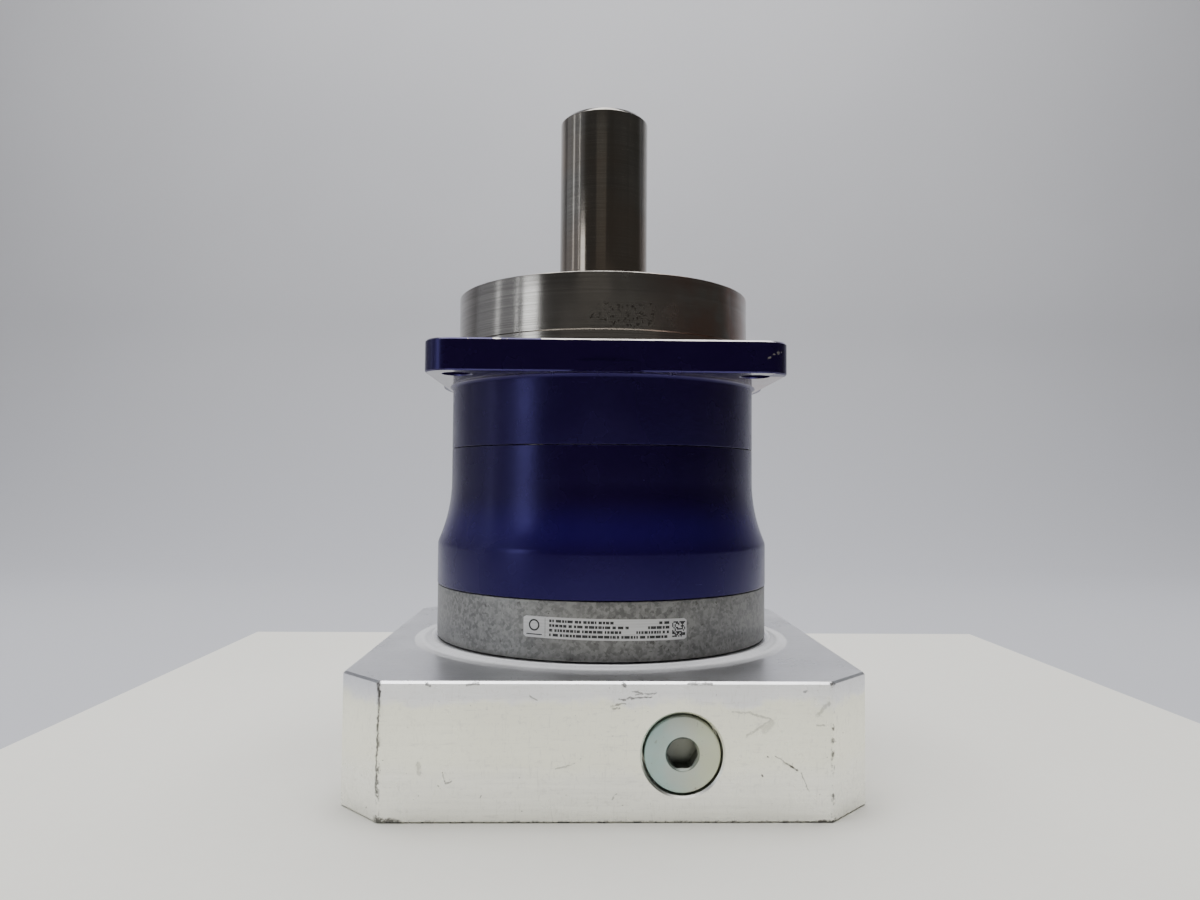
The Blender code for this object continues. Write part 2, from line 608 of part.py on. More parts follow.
def make_rating_plate(looks, frames):
    """Blank label strip that lies on the cast ring, on the front side."""
    thick, low, high = 0.25, 58.1, 66.1
    inner_r = RING_R + 0.15
    step = 360 / ROUND
    angles = [-114.0 + step / 2 * i for i in range(9)]
    outline = [polar(inner_r, math.radians(a)) for a in angles]
    outline += [polar(inner_r + thick, math.radians(a)) for a in reversed(angles)]
    prism("rating_plate", outline, low, high, looks["label"], frames["housing"])


def make_seals(looks, frames):
    lip_r = SEAL_SEAT_R + LOOSE + 0.1
    outer_r = UPPER_CUP_R - LOOSE
    turned("output_seal", [(outer_r, SEAL_BOTTOM), (outer_r, SEAL_TOP), (lip_r + 2.0, SEAL_TOP),
                           (lip_r, SEAL_TOP - 1.6), (lip_r + 1.6, SEAL_BOTTOM + 0.6),
                           (lip_r + 3.4, SEAL_BOTTOM + 0.6), (lip_r + 3.4, SEAL_TOP - 2.4),
                           (outer_r - 2.4, SEAL_TOP - 2.4), (outer_r - 2.4, SEAL_BOTTOM)],
           looks["rubber"], frames["housing"])
    turned("input_seal", [(41.9, 48.6), (41.9, 55.6), (39.8, 55.6), (39.8, 50.8),
                          (HUB_SEAL_R + 3.2, 50.8), (HUB_SEAL_R + 3.2, 55.0), (HUB_SEAL_R + 1.9, 55.0),
                          (HUB_SEAL_R + LOOSE + 0.1, 50.2), (HUB_SEAL_R + 1.7, 48.6)],
           looks["rubber"], frames["housing"])


# ---------------------------------------------------------------- output shaft, carrier and planets


def window_outline(index):
    """U-shaped window round a planet, open to the outside so that the planet can slide in."""
    phi = planet_angle(index)
    turn = Matrix.Rotation(phi, 2)
    half_round = arc((PLANET_CIRCLE_R, 0.0), WINDOW_R, 90, 270, 8)
    outline = [(CHEEK_R + 10, WINDOW_R), *half_round, (CHEEK_R + 10, -WINDOW_R)]
    return [tuple(turn @ Vector(point)) for point in outline]


def make_carrier(looks, frames):
    """Planet carrier and output shaft, turned from one forging."""
    profile = [(WINDOW_R, CHEEK_BOTTOM), (CHEEK_R, CHEEK_BOTTOM), (CHEEK_R, CHEEK_TOP - 0.6),
               (CHEEK_R - 0.6, CHEEK_TOP), (LOWER_BORE_R + 4.5, CHEEK_TOP), (LOWER_BORE_R + 4.5, 132.9),
               (LOWER_BORE_R, 132.9), (LOWER_BORE_R, 153.6), (UPPER_BORE_R, 154.6), (UPPER_BORE_R, 183.6),
               (UPPER_BORE_R - 1.0, NUT_BOTTOM), (UPPER_BORE_R - 1.0, NUT_TOP), (SEAL_SEAT_R, NUT_TOP + 1.2),
               (SEAL_SEAT_R, SHOULDER_TOP - 0.8), (SEAL_SEAT_R - 0.8, SHOULDER_TOP),
               (SHAFT_R, SHOULDER_TOP), (SHAFT_R, SHAFT_TOP - SHAFT_CHAMFER),
               (SHAFT_R - SHAFT_CHAMFER, SHAFT_TOP), (CENTRE_THREAD_R + 1.8, SHAFT_TOP),
               (CENTRE_THREAD_R, SHAFT_TOP - 3.2), (CENTRE_THREAD_R, SHAFT_TOP - CENTRE_THREAD_DEPTH),
               (0, SHAFT_TOP - CENTRE_THREAD_DEPTH - 4.0), (0, SUN_TOP + 3.0), (WINDOW_R, SUN_TOP + 3.0)]
    carrier = turned("planet_carrier", profile, looks["steel"], frames["output"])
    for i in range(PLANETS):
        centre = polar(PLANET_CIRCLE_R, planet_angle(i))
        cut(carrier, prism(f"planet_window_{i + 1}", window_outline(i), WINDOW_BOTTOM, WINDOW_TOP,
                           looks["steel"], frames["output"]),
            prism(f"pin_hole_{i + 1}", circle(PIN_R + FIT, SMALL_ROUND, centre), CHEEK_BOTTOM - 2, 130.6,
                  looks["steel"], frames["output"]))


def make_planet(index, looks, frames):
    """One planet with its needle cage, pin and thrust washers. Each is built about the planet's own axis."""
    number = index + 1
    centre = (*polar(PLANET_CIRCLE_R, planet_angle(index)), 0.0)
    outline = tooth_outline(PLANET_TEETH, ADDENDUM, DEDENDUM, -TOOTH_THINNING, planet_first_tooth(index), 3)
    gear = helical(f"planet_gear_{number}", PLANET_TEETH, outline, PLANET_BOTTOM, PLANET_TOP, -1,
                   looks["gear_steel"], frames[f"planet_{number}"])
    cut(gear, prism(f"planet_bore_{number}", circle(PLANET_BORE_R, 20), PLANET_BOTTOM - 2, PLANET_TOP + 2,
                    looks["gear_steel"], frames[f"planet_{number}"]))
    needle_cage(number, looks, frames)
    pin = turned(f"planet_pin_{number}", [(0, 85.2), (PIN_R - 0.6, 85.2), (PIN_R, 85.8), (PIN_R, 129.7),
                                          (PIN_R - 0.6, 130.3), (0, 130.3)],
                 looks["hard_steel"], frames["output"], SMALL_ROUND)
    moved(pin, centre)
    for side, bottom in (("lower", WINDOW_BOTTOM + 0.2), ("upper", WINDOW_TOP - 0.2 - WASHER_THICK)):
        washer = turned(f"planet_washer_{side}_{number}",
                        [(PIN_R + FIT, bottom), (14.0, bottom), (14.0, bottom + WASHER_THICK),
                         (PIN_R + FIT, bottom + WASHER_THICK)], looks["brass"], frames["output"], SMALL_ROUND)
        moved(washer, centre)


def needle_cage(number, looks, frames):
    """A needle set in its cage, as one closed band: round needles stand out of the thinner cage on both sides."""
    needles, needle_r = 8, 1.2
    centre_r = (PIN_R + PLANET_BORE_R) / 2
    band = 0.5
    half_step = math.pi / needles
    shoulder = needle_r * 0.8 / centre_r
    outside, inside = [], []
    for i in range(needles):
        a = 2 * half_step * i
        outside += [polar(centre_r + band, a - shoulder), polar(centre_r + needle_r, a - shoulder / 2),
                    polar(centre_r + needle_r, a + shoulder / 2), polar(centre_r + band, a + shoulder)]
        inside += [polar(centre_r - band, a - shoulder), polar(centre_r - needle_r, a - shoulder / 2),
                   polar(centre_r - needle_r, a + shoulder / 2), polar(centre_r - band, a + shoulder)]
    frame = frames[f"needles_{number}"]
    bottom, top = PLANET_BOTTOM + 1.0, PLANET_TOP - 1.0
    cage = prism(f"planet_needles_{number}", outside, bottom, top, looks["hard_steel"], frame)
    cut(cage, prism(f"needle_inside_{number}", inside, bottom - 2, top + 2, looks["hard_steel"], frame))


def make_bearing_nut(looks, frames):
    nut = turned("bearing_nut", [(UPPER_BORE_R - 1.0 + FIT, NUT_BOTTOM), (44.0, NUT_BOTTOM),
                                 (44.0, NUT_TOP - 0.6), (43.4, NUT_TOP), (UPPER_BORE_R - 1.0 + FIT, NUT_TOP)],
                 looks["black_oxide"], frames["output"])
    for i in range(4):
        slot = prism(f"nut_slot_{i + 1}", box_outline(41.0, 50.0, -3.5, 3.5), NUT_BOTTOM - 2, NUT_TOP + 2,
                     looks["black_oxide"], frames["output"])
        cut(nut, moved(slot, rotation=(0.0, 0.0, math.pi / 4 + math.pi / 2 * i)))


# ---------------------------------------------------------------- input shaft


def make_input_shaft(looks, frames):
    """Clamping hub that grips the motor shaft, with the sun pinion fixed in its nose."""
    frame = frames["input"]
    profile = [(MOTOR_SHAFT_R + 1.0, HUB_BOTTOM), (HUB_CLAMP_R - 1.0, HUB_BOTTOM), (HUB_CLAMP_R, HUB_BOTTOM + 1.0),
               (HUB_CLAMP_R, CLAMP_TOP - 1.0), (HUB_CLAMP_R - 1.0, CLAMP_TOP), (HUB_SEAL_R, CLAMP_TOP),
               (HUB_SEAL_R, RACE_BOTTOM), (HUB_SEAT_R, RACE_BOTTOM), (HUB_SEAT_R, 76.3), (HUB_SEAT_R - 1.5, 76.3),
               (HUB_SEAT_R - 1.5, 78.5), (HUB_SEAT_R, 78.5), (HUB_SEAT_R, HUB_SHOULDER), (20.0, HUB_SHOULDER),
               (20.0, HUB_TOP), (SUN_STEM_R + FIT, HUB_TOP), (SUN_STEM_R + FIT, 81.0),
               (SUN_STEM_R - 4.0, 81.0), (SUN_STEM_R - 4.0, MOTOR_SHAFT_DEPTH),
               (MOTOR_SHAFT_R, MOTOR_SHAFT_DEPTH), (MOTOR_SHAFT_R, HUB_BOTTOM + 1.0)]
    hub = turned("clamping_hub", profile, looks["steel"], frame)
    slot = prism("hub_slot", box_outline(MOTOR_SHAFT_R - 4, HUB_CLAMP_R + 4, -1.2, 1.2), HUB_BOTTOM - 2, 44.2,
                 looks["steel"], frame)
    slit = prism("hub_slit", box_outline(-6.0, HUB_CLAMP_R + 4, -HUB_CLAMP_R - 4, HUB_CLAMP_R + 4), 41.8, 44.2,
                 looks["steel"], frame)
    head_seat, screw_r, head_r, head_h, length = 14.0, 5.0, 8.0, 10.0, 32.0
    hole = turned("clamp_screw_hole", [(0, -length - 2), (screw_r + FIT, -length - 2), (screw_r + FIT, 0),
                                       (head_r + 0.5, 0), (head_r + 0.5, 30), (0, 30)],
                  looks["steel"], frame, 20)
    moved(hole, (CLAMP_X, -head_seat, CLAMP_Z), ALONG_MINUS_Y)
    cut(hub, slot, slit, hole)
    screw, socket = socket_screw("clamp_screw", screw_r, length, head_r, head_h, 8.0, looks["black_oxide"], frame)
    for piece in (screw, socket):
        moved(piece, (CLAMP_X, -head_seat - FIT, CLAMP_Z), (-math.pi / 2, 0.0, 0.0))

    outline = tooth_outline(SUN_TEETH, ADDENDUM, DEDENDUM, -TOOTH_THINNING, 0.0, 3)
    sun = helical("sun_gear", SUN_TEETH, outline, SUN_BOTTOM, SUN_TOP, 1, looks["gear_steel"], frame)
    stem = turned("sun_stem", [(0, 81.4), (SUN_STEM_R - 0.8, 81.4), (SUN_STEM_R, 82.2), (SUN_STEM_R, SUN_BOTTOM + 2),
                               (0, SUN_BOTTOM + 2)], looks["gear_steel"], frame, 24)
    join(sun, stem)


# ---------------------------------------------------------------- the whole gearbox


def make_frames():
    frames = {"housing": empty("housing_frame"), "output": empty("output_axis"), "input": empty("input_axis")}
    frames["access_plug"] = empty("access_plug_slide")
    for name in ("upper_bearing_rollers", "lower_bearing_rollers", "input_balls"):
        frames[name] = empty(name + "_axis")
    for i in range(PLANETS):
        centre = (*polar(PLANET_CIRCLE_R, planet_angle(i)), 0.0)
        frames[f"planet_{i + 1}"] = empty(f"planet_axis_{i + 1}", centre, frames["output"])
        frames[f"needles_{i + 1}"] = empty(f"needles_axis_{i + 1}", centre, frames["output"])
    return frames


def main():
    clear_scene()
    looks = make_materials()
    frames = make_frames()
    make_output_housing(looks, frames)
    make_ring_gear_housing(looks, frames)
    make_input_flange(looks, frames)
    make_adapter_plate(looks, frames)
    make_access_plug(looks, frames)
    make_rating_plate(looks, frames)
    make_seals(looks, frames)
    make_carrier(looks, frames)
    make_bearing_nut(looks, frames)
    for i in range(PLANETS):
        make_planet(i, looks, frames)
    tapered_bearing("upper_bearing", UPPER_BORE_R, UPPER_CUP_R, UPPER_SHOULDER, 1, looks, frames)
    tapered_bearing("lower_bearing", LOWER_BORE_R, LOWER_CUP_R, LOWER_SHOULDER, -1, looks, frames)
    make_input_shaft(looks, frames)
    ball_bearing(looks, frames)
    retaining_ring("bearing_circlip", 43.6, RACE_SEAT_R + 2.7, 76.7, 78.7, looks["black_oxide"], frames["housing"])
    retaining_ring("hub_circlip", HUB_SEAT_R - 1.0, HUB_SEAT_R + 3.4, 76.6, 78.2,
                   looks["black_oxide"], frames["input"])


main()
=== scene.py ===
"""Planetary gearbox in a plain studio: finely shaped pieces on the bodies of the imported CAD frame.

The shapes repeat the CAD dimensions at a higher resolution, with the chamfers and fillets of real castings.
Lengths are in millimetres, and become metres when a mesh is made. +Z runs up the common axis to the output
shaft, z = 0 is the motor face, and -Y is the front, with the access hole.
"""

import random
from math import acos, atan2, cos, degrees, hypot, pi, radians, sin, tan, tau

import bmesh
import bpy
from mathutils import Matrix, Quaternion, Vector

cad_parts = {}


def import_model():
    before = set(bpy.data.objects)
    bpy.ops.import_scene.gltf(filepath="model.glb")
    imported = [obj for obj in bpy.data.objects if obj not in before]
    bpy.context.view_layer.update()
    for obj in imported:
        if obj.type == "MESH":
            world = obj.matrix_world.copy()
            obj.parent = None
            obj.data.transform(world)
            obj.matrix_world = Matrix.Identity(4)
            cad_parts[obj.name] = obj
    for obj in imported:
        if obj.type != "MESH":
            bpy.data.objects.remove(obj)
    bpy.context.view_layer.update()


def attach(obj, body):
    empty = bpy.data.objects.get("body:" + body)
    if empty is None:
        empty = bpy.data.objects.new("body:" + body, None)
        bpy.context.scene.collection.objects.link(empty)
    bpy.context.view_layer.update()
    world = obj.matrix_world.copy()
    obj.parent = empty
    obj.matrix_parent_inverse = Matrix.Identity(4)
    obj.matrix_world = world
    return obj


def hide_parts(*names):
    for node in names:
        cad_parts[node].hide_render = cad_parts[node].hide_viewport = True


MM = 0.001
TO_MM = (1000.0, 1000.0, 1000.0)
FINE = 192  # sides of the large turned surfaces
ROUND = 96  # sides of turned pieces inside
SMALL = 40  # sides of screws, pins and washers
FIT = 0.3  # gap between neighbouring parts

# Levels along the axis
PLATE_TOP = 48.0
BOSS_TOP = 49.65
CAST_BOTTOM = 49.95
CAST_TOP = 72.4
BAND_TOP = 91.6
SEAM = 131.2
FLANGE_BOTTOM = 158.6
FLANGE_TOP = 171.1
PILOT_TOP = 198.5
SHOULDER_TOP = 201.1
SHAFT_TOP = 283.1

# Output side
SHAFT_R = 20.0
PILOT_R = 65.0
PILOT_RELIEF_TOP = 175.7
BODY_R = 67.6
BAND_R = 73.3
FLARE_R = 66.0
FLARE_ANGLE = 22.0
UPPER_CUP_R = 50.0
UPPER_SEAT = 163.8
LOWER_CUP_R = 55.0
LOWER_SEAT = 153.2
SQUARE_HALF = 70.5
SQUARE_CORNER_R = 11.0
BOLT_HOLE_R = 5.5

# Motor side
PLATE_HALF = 95.0
PLATE_CORNER_CUT = 16.7
PLATE_BORE_R = 47.0
PLATE_SEAT_R = 55.3
MOTOR_PILOT_R = 90.0
MOTOR_PILOT_DEPTH = 6.0
MOTOR_THREAD_R = 5.2
BOSS_R = 75.4
BOSS_FOOT_R = 80.0
CAST_R = 73.1
ACCESS_X = 26.2
ACCESS_Z = 23.1
ACCESS_R = 14.1
PLUG_R = 13.3
PLUG_HEX = 10.0

# Screws and bolt holes: their number, circle radius and first angle in degrees
OUTPUT_BOLTS = (4, 82.5, 45.0)
MOTOR_BOLTS = (4, 107.5, 45.0)
FLANGE_SCREWS = (6, 66.3, 15.0)
PLATE_SCREWS = (4, 66.0, 0.0)

# Gears
MODULE = 2.1
SUN_TEETH = 18
PLANET_TEETH = 18
RING_TEETH = 54
PRESSURE_ANGLE = radians(20.4)
HELIX_ANGLE = radians(10.0)
TOOTH_THINNING = 0.14
ADDENDUM = MODULE
DEDENDUM = 1.25 * MODULE
PLANETS = 3
FIRST_PLANET = radians(90.0)
PLANET_CIRCLE_R = MODULE * (SUN_TEETH + PLANET_TEETH) / 2
PLANET_BOTTOM = 93.4
PLANET_TOP = 121.4
MESH_LEVEL = (PLANET_BOTTOM + PLANET_TOP) / 2
PIN_R = 8.0
PLANET_BORE_R = 11.0
RING_BOTTOM = 92.0
RING_TOP = 124.0
RING_SEAT_R = 59.65

# Label on the cast ring, seen from the front
LABEL_ARC = 49.8
LABEL_LEFT = -114.9
LABEL_LOW = 58.1
LABEL_HEIGHT = 7.9
LABEL_DROP = 0.9  # how much lower its right end sits

# Camera
CAMERA_POSITION = (-9.85, -394.90, 116.30)
CAMERA_DIRECTION = (0.02253, 0.99900, 0.03868)
CAMERA_ROLL = radians(0.417)
CAMERA_LENS = 25.874


# ---------------------------------------------------------------- node materials


class Nodes:
    """A node tree. Every input takes a plain value or the output of another node."""

    def __init__(self, tree):
        self.tree = tree

    def put(self, socket, value):
        if isinstance(value, bpy.types.NodeSocket):
            self.tree.links.new(value, socket)
        elif isinstance(value, tuple) and len(value) == 3 and socket.type == "RGBA":
            socket.default_value = (*value, 1.0)
        else:
            socket.default_value = value

    def node(self, kind, settings=None, **inputs):
        """A new shader node. Its inputs go by name, or by number as i0, i1 and so on."""
        made = self.tree.nodes.new("ShaderNode" + kind)
        for key, value in (settings or {}).items():
            setattr(made, key, value)
        for key, value in inputs.items():
            self.put(made.inputs[int(key[1:]) if key[0] == "i" and key[1:].isdigit() else key], value)
        return made

    def math(self, operation, a, b=0.0):
        return self.node("Math", {"operation": operation}, i0=a, i1=b).outputs[0]

    def times(self, a, b):
        return self.math("MULTIPLY", a, b)

    def plus(self, a, b):
        return self.math("ADD", a, b)

    def minus(self, a, b):
        return self.math("SUBTRACT", a, b)

    def most(self, a, b):
        return self.math("MAXIMUM", a, b)

    def vector(self, operation, a, b=(0.0, 0.0, 0.0)):
        return self.node("VectorMath", {"operation": operation}, i0=a, i1=b).outputs[0]

    def length(self, operation, a, b=(0.0, 0.0, 0.0)):
        """A vector operation whose result is one number."""
        return self.node("VectorMath", {"operation": operation}, i0=a, i1=b).outputs["Value"]

    def place(self, scale=(1.0, 1.0, 1.0)):
        """Where a point is on the gearbox, in metres, times a scale per axis."""
        return self.vector("MULTIPLY", self.node("TexCoord").outputs["Object"], scale)

    def axis(self, which):
        """One coordinate in millimetres."""
        parts = self.node("SeparateXYZ", Vector=self.place(TO_MM))
        return parts.outputs["XYZ".index(which)]

    def noise(self, scale, detail=3.0, roughness=0.55, distortion=0.0, seed=0.0):
        """Noise with scale features per metre along each axis."""
        scale = scale if isinstance(scale, tuple) else (scale, scale, scale)
        made = self.node("TexNoise", {"noise_dimensions": "4D"}, Vector=self.place(scale), W=seed, Scale=1.0,
                         Detail=detail, Roughness=roughness, Distortion=distortion)
        return made.outputs["Fac"]

    def ramp(self, value, low, high, to_low=0.0, to_high=1.0):
        """A smooth step from to_low to to_high while value goes from low to high."""
        made = self.node("MapRange", {"interpolation_type": "SMOOTHSTEP"}, Value=value)
        for key, number in zip(("From Min", "From Max", "To Min", "To Max"), (low, high, to_low, to_high)):
            self.put(made.inputs[key], number)
        return made.outputs["Result"]

    def near(self, value, centre, half_width):
        """1 where value is at centre, falling to 0 at half_width from it."""
        return self.ramp(self.math("ABSOLUTE", self.minus(value, centre)), 0.0, half_width, 1.0, 0.0)

    def mix(self, factor, a, b):
        made = self.node("Mix", {"data_type": "RGBA"})
        for socket, value in ((made.inputs[0], factor), (made.inputs[6], a), (made.inputs[7], b)):
            self.put(socket, value)
        return made.outputs[2]

    def bump(self, height, depth, under=None):
        """A bump of the given depth in millimetres."""
        made = self.node("Bump", Height=height, Distance=depth * MM, Strength=1.0)
        if under is not None:
            self.put(made.inputs["Normal"], under)
        return made.outputs["Normal"]

    def radius(self):
        """Distance from the gearbox's axis in millimetres."""
        return self.length("LENGTH", self.place((1000.0, 1000.0, 0.0)))

    def stroke(self, point, start, end, width):
        """A mask of the line between two (x, z) points in millimetres, which fades out at its width."""
        start = Vector((start[0], 0.0, start[1]))
        run = Vector((end[0], 0.0, end[1])) - start
        offset = self.vector("SUBTRACT", point, tuple(start))
        along = self.length("DOT_PRODUCT", offset, tuple(run / run.length_squared))
        share = self.node("Clamp", Value=along).outputs[0]
        foot = self.node("VectorMath", {"operation": "SCALE"}, i0=tuple(run), Scale=share).outputs[0]
        return self.ramp(self.length("DISTANCE", offset, foot), width * 0.35, width, 1.0, 0.0)

    def spots(self, size, amount, seed=0.0, where=None):
        """A mask of small irregular spots, about size millimetres across, over amount of the surface."""
        grain = self.noise(1000.0 / size / 2.5, 4.0, 0.6, 0.4, seed)
        if where is not None:
            grain = self.plus(grain, self.times(self.minus(where, 1.0), 0.6))
        edge = 0.72 - amount
        return self.ramp(grain, edge, edge + 0.03)


class Look(Nodes):
    """A material's node tree, with its main shader."""

    def __init__(self, name, **inputs):
        self.material = bpy.data.materials.new(name)
        self.material.use_nodes = True
        super().__init__(self.material.node_tree)
        self.surface(**inputs)

    def surface(self, **inputs):
        shader = self.tree.nodes["Principled BSDF"]
        for name, value in inputs.items():
            self.put(shader.inputs[name.replace("_", " ").title().replace("Ior", "IOR")], value)


def paint_look():
    """Dark blue enamel: a slight orange peel, fine scuffs, chips along the exposed edges, and painted light:
    a brighter blue on the band and flare.
    """
    n = Look("blue_enamel", specular_ior_level=0.62, specular_tint=(0.33, 0.29, 1.0, 1.0))
    x, z = n.axis("X"), n.axis("Z")
    shade = n.mix(n.noise(14.0, 2.0), (0.0052, 0.0012, 0.018), (0.0072, 0.0017, 0.026))
    # Painted light: the band and the upward-facing flare get a brighter, bluer colour than the body, because
    # they are lit more there.
    lower = n.most(n.ramp(z, 90.5, 93.5, 0.35, 0.0), n.near(z, 98.0, 15.0))
    shade = n.mix(n.times(lower, 0.8), shade, (0.0115, 0.0030, 0.085))
    top_edge = n.ramp(z, FLANGE_TOP - 1.3, FLANGE_TOP - 0.5)
    corner = n.times(n.ramp(n.radius(), 86.0, 92.0, 0.0, 0.9), n.near(z, 166.0, 11.0))
    ridge = n.times(n.near(z, 92.3, 4.0), 0.55)
    seam = n.times(n.near(z, SEAM, 1.4), 0.72)
    worn_rim = n.times(n.ramp(z, FLANGE_TOP - 0.9, FLANGE_TOP - 0.4), n.ramp(x, -40.0, -5.0, 0.7, 1.7))
    exposed = n.most(n.most(top_edge, corner), n.most(ridge, seam))
    chips = n.spots(2.2, 0.16, 3.0, n.most(exposed, worn_rim))
    dust = n.times(n.ramp(n.noise((30.0, 30.0, 900.0), 4.0, 0.7, 0.0, 9.0), 0.60, 0.74),
                  n.near(z, SEAM, 2.0))
    scuffs = n.ramp(n.noise((160.0, 160.0, 1100.0), 3.0, 0.6, 0.8, 5.0), 0.68, 0.76)
    shade = n.mix(n.times(scuffs, 0.05), shade, (0.10, 0.10, 0.22))
    shade = n.mix(n.times(dust, 0.35), shade, (0.25, 0.25, 0.30))
    shade = n.mix(chips, shade, (0.42, 0.40, 0.36))
    rough = n.plus(n.ramp(n.noise(60.0, 3.0), 0.3, 0.7, 0.23, 0.29), n.times(scuffs, 0.05))
    peel = n.bump(n.noise(520.0, 2.0, 0.4), 0.03)
    normal = n.bump(n.minus(1.0, chips), 0.05, peel)
    n.surface(base_color=shade, roughness=rough, normal=normal, metallic=n.times(chips, 0.8))
    return n.material


def turned_steel_look(name, light, dark, line_depth, roughness, tint=None):
    """Bare steel with fine lathe lines round it, slow changes of tone, and painted shade on the shaft's end
    chamfer.
    """
    n = Look(name, metallic=1.0)
    lines = n.noise((5.0, 5.0, 2600.0), 2.0, 0.6)
    tone = n.plus(n.times(lines, 0.7), n.times(n.noise(35.0, 4.0, 0.6), 0.3))
    shade = n.mix(n.ramp(tone, 0.35, 0.65), dark, light)
    streaks = n.ramp(n.noise((420.0, 420.0, 2.5), 3.0, 0.6, 0.0, 6.0), 0.38, 0.62)
    shade = n.mix(n.times(streaks, 0.55), shade, dark)
    if tint is not None:
        shade = n.mix(n.times(n.ramp(n.noise(22.0, 3.0, 0.5, 0.0, 4.0), 0.45, 0.65), 0.6), shade, tint)
    scratches = n.ramp(n.noise((1400.0, 1400.0, 22.0), 2.0, 0.5, 0.6, 7.0), 0.70, 0.78)
    shade = n.mix(n.times(scratches, 0.35), shade, (0.75, 0.73, 0.70))
    # Painted shade: the rounded edge at the shaft's end is darkened, in patches.
    rim = n.times(n.near(n.axis("Z"), SHAFT_TOP - 0.8, 1.6), n.near(n.radius(), SHAFT_R - 0.6, 1.4))
    rim = n.times(n.ramp(rim, 0.1, 0.4), n.ramp(n.noise(160.0, 3.0), 0.4, 0.6, 0.55, 0.85))
    shade = n.mix(rim, shade, (0.06, 0.055, 0.05))
    rough = n.ramp(n.noise(80.0, 3.0, 0.6, 0.0, 2.0), 0.3, 0.7, roughness * 0.8, roughness * 1.25)
    n.surface(base_color=shade, roughness=rough, normal=n.bump(lines, line_depth))
    return n.material


def pilot_look():
    """Turned steel with brownish stains at the front, a reddish right side, a few long scratches, and painted
    shade in patches on the rounded top edge.
    """
    n = Look("pilot_steel", metallic=1.0)
    x, z = n.axis("X"), n.axis("Z")
    lines = n.noise((5.0, 5.0, 2200.0), 2.0, 0.6)
    shade = n.mix(n.ramp(lines, 0.3, 0.7), (0.30, 0.285, 0.265), (0.42, 0.40, 0.375))
    red = n.times(n.ramp(x, 8.0, 40.0), n.ramp(n.noise(30.0, 4.0, 0.6, 0.5, 3.0), 0.38, 0.62))
    shade = n.mix(n.times(red, 0.75), shade, (0.36, 0.215, 0.165))
    front = n.times(n.ramp(n.near(x, 8.0, 40.0), 0.1, 0.6), n.ramp(z, 172.0, 178.0))
    film = n.times(front, n.ramp(n.noise(80.0, 4.0, 0.6, 0.0, 6.0), 0.35, 0.75))
    shade = n.mix(n.times(film, 0.30), shade, (0.27, 0.245, 0.22))
    stained = n.times(n.ramp(n.near(x, 6.0, 24.0), 0.1, 0.5), n.ramp(n.near(z, 181.5, 9.0), 0.1, 0.5))
    stains = n.spots(0.5, 0.155, 8.0, stained)
    shade = n.mix(n.times(stains, 0.75), shade, (0.07, 0.058, 0.05))
    specks = n.spots(0.7, 0.05, 11.0)
    shade = n.mix(n.times(specks, 0.6), shade, (0.12, 0.10, 0.09))
    scratches = n.ramp(n.noise((500.0, 500.0, 90.0), 2.0, 0.5, 1.0, 12.0), 0.72, 0.75)
    shade = n.mix(n.times(scratches, 0.25), shade, (0.72, 0.70, 0.67))
    # Painted shade: the rounded top edge of the pilot is darkened in patches, which thins its highlight into
    # an irregular line.
    rim = n.times(n.ramp(z, PILOT_TOP - 0.7, PILOT_TOP - 0.35), n.ramp(n.noise(130.0, 3.0), 0.42, 0.6))
    rim = n.times(rim, n.ramp(n.radius(), PILOT_R - 0.9, PILOT_R - 0.6))
    shade = n.mix(n.times(rim, 0.6), shade, (0.10, 0.09, 0.08))
    cloudy = n.ramp(n.noise(45.0, 3.0, 0.6, 0.0, 2.0), 0.3, 0.7, 0.12, 0.20)
    rough = n.plus(cloudy, n.times(n.most(film, stains), 0.12))
    n.surface(base_color=shade, roughness=rough, normal=n.bump(lines, 0.006))
    return n.material


def cast_look():
    """Blasted aluminium casting: mottled grey with fine grain and dark specks."""
    n = Look("cast_aluminium_skin", metallic=0.55)
    cells = n.node("TexVoronoi", {"feature": "F1"}, Vector=n.place(), Scale=900.0).outputs["Color"]
    spangle = n.node("SeparateXYZ", Vector=cells).outputs[0]
    mottle = n.plus(n.times(n.noise(260.0, 5.0, 0.7, 0.3), 0.75), n.times(spangle, 0.25))
    shade = n.mix(n.ramp(mottle, 0.32, 0.66), (0.165, 0.165, 0.163), (0.34, 0.34, 0.33))
    cloud = n.ramp(n.noise(40.0, 3.0, 0.5, 0.0, 3.0), 0.35, 0.65)
    shade = n.mix(n.times(cloud, 0.30), shade, (0.38, 0.38, 0.37))
    dirt = n.times(n.near(n.axis("Z"), CAST_BOTTOM, 3.0), 0.8)
    shade = n.mix(n.times(dirt, n.noise(120.0, 4.0, 0.6, 0.0, 5.0)), shade, (0.06, 0.055, 0.05))
    shade = n.mix(n.times(n.spots(0.8, 0.09, 6.0), 0.7), shade, (0.09, 0.085, 0.08))
    grain = n.bump(n.noise(1500.0, 3.0, 0.6), 0.02)
    n.surface(base_color=shade, roughness=n.ramp(mottle, 0.3, 0.7, 0.38, 0.55), normal=grain)
    return n.material


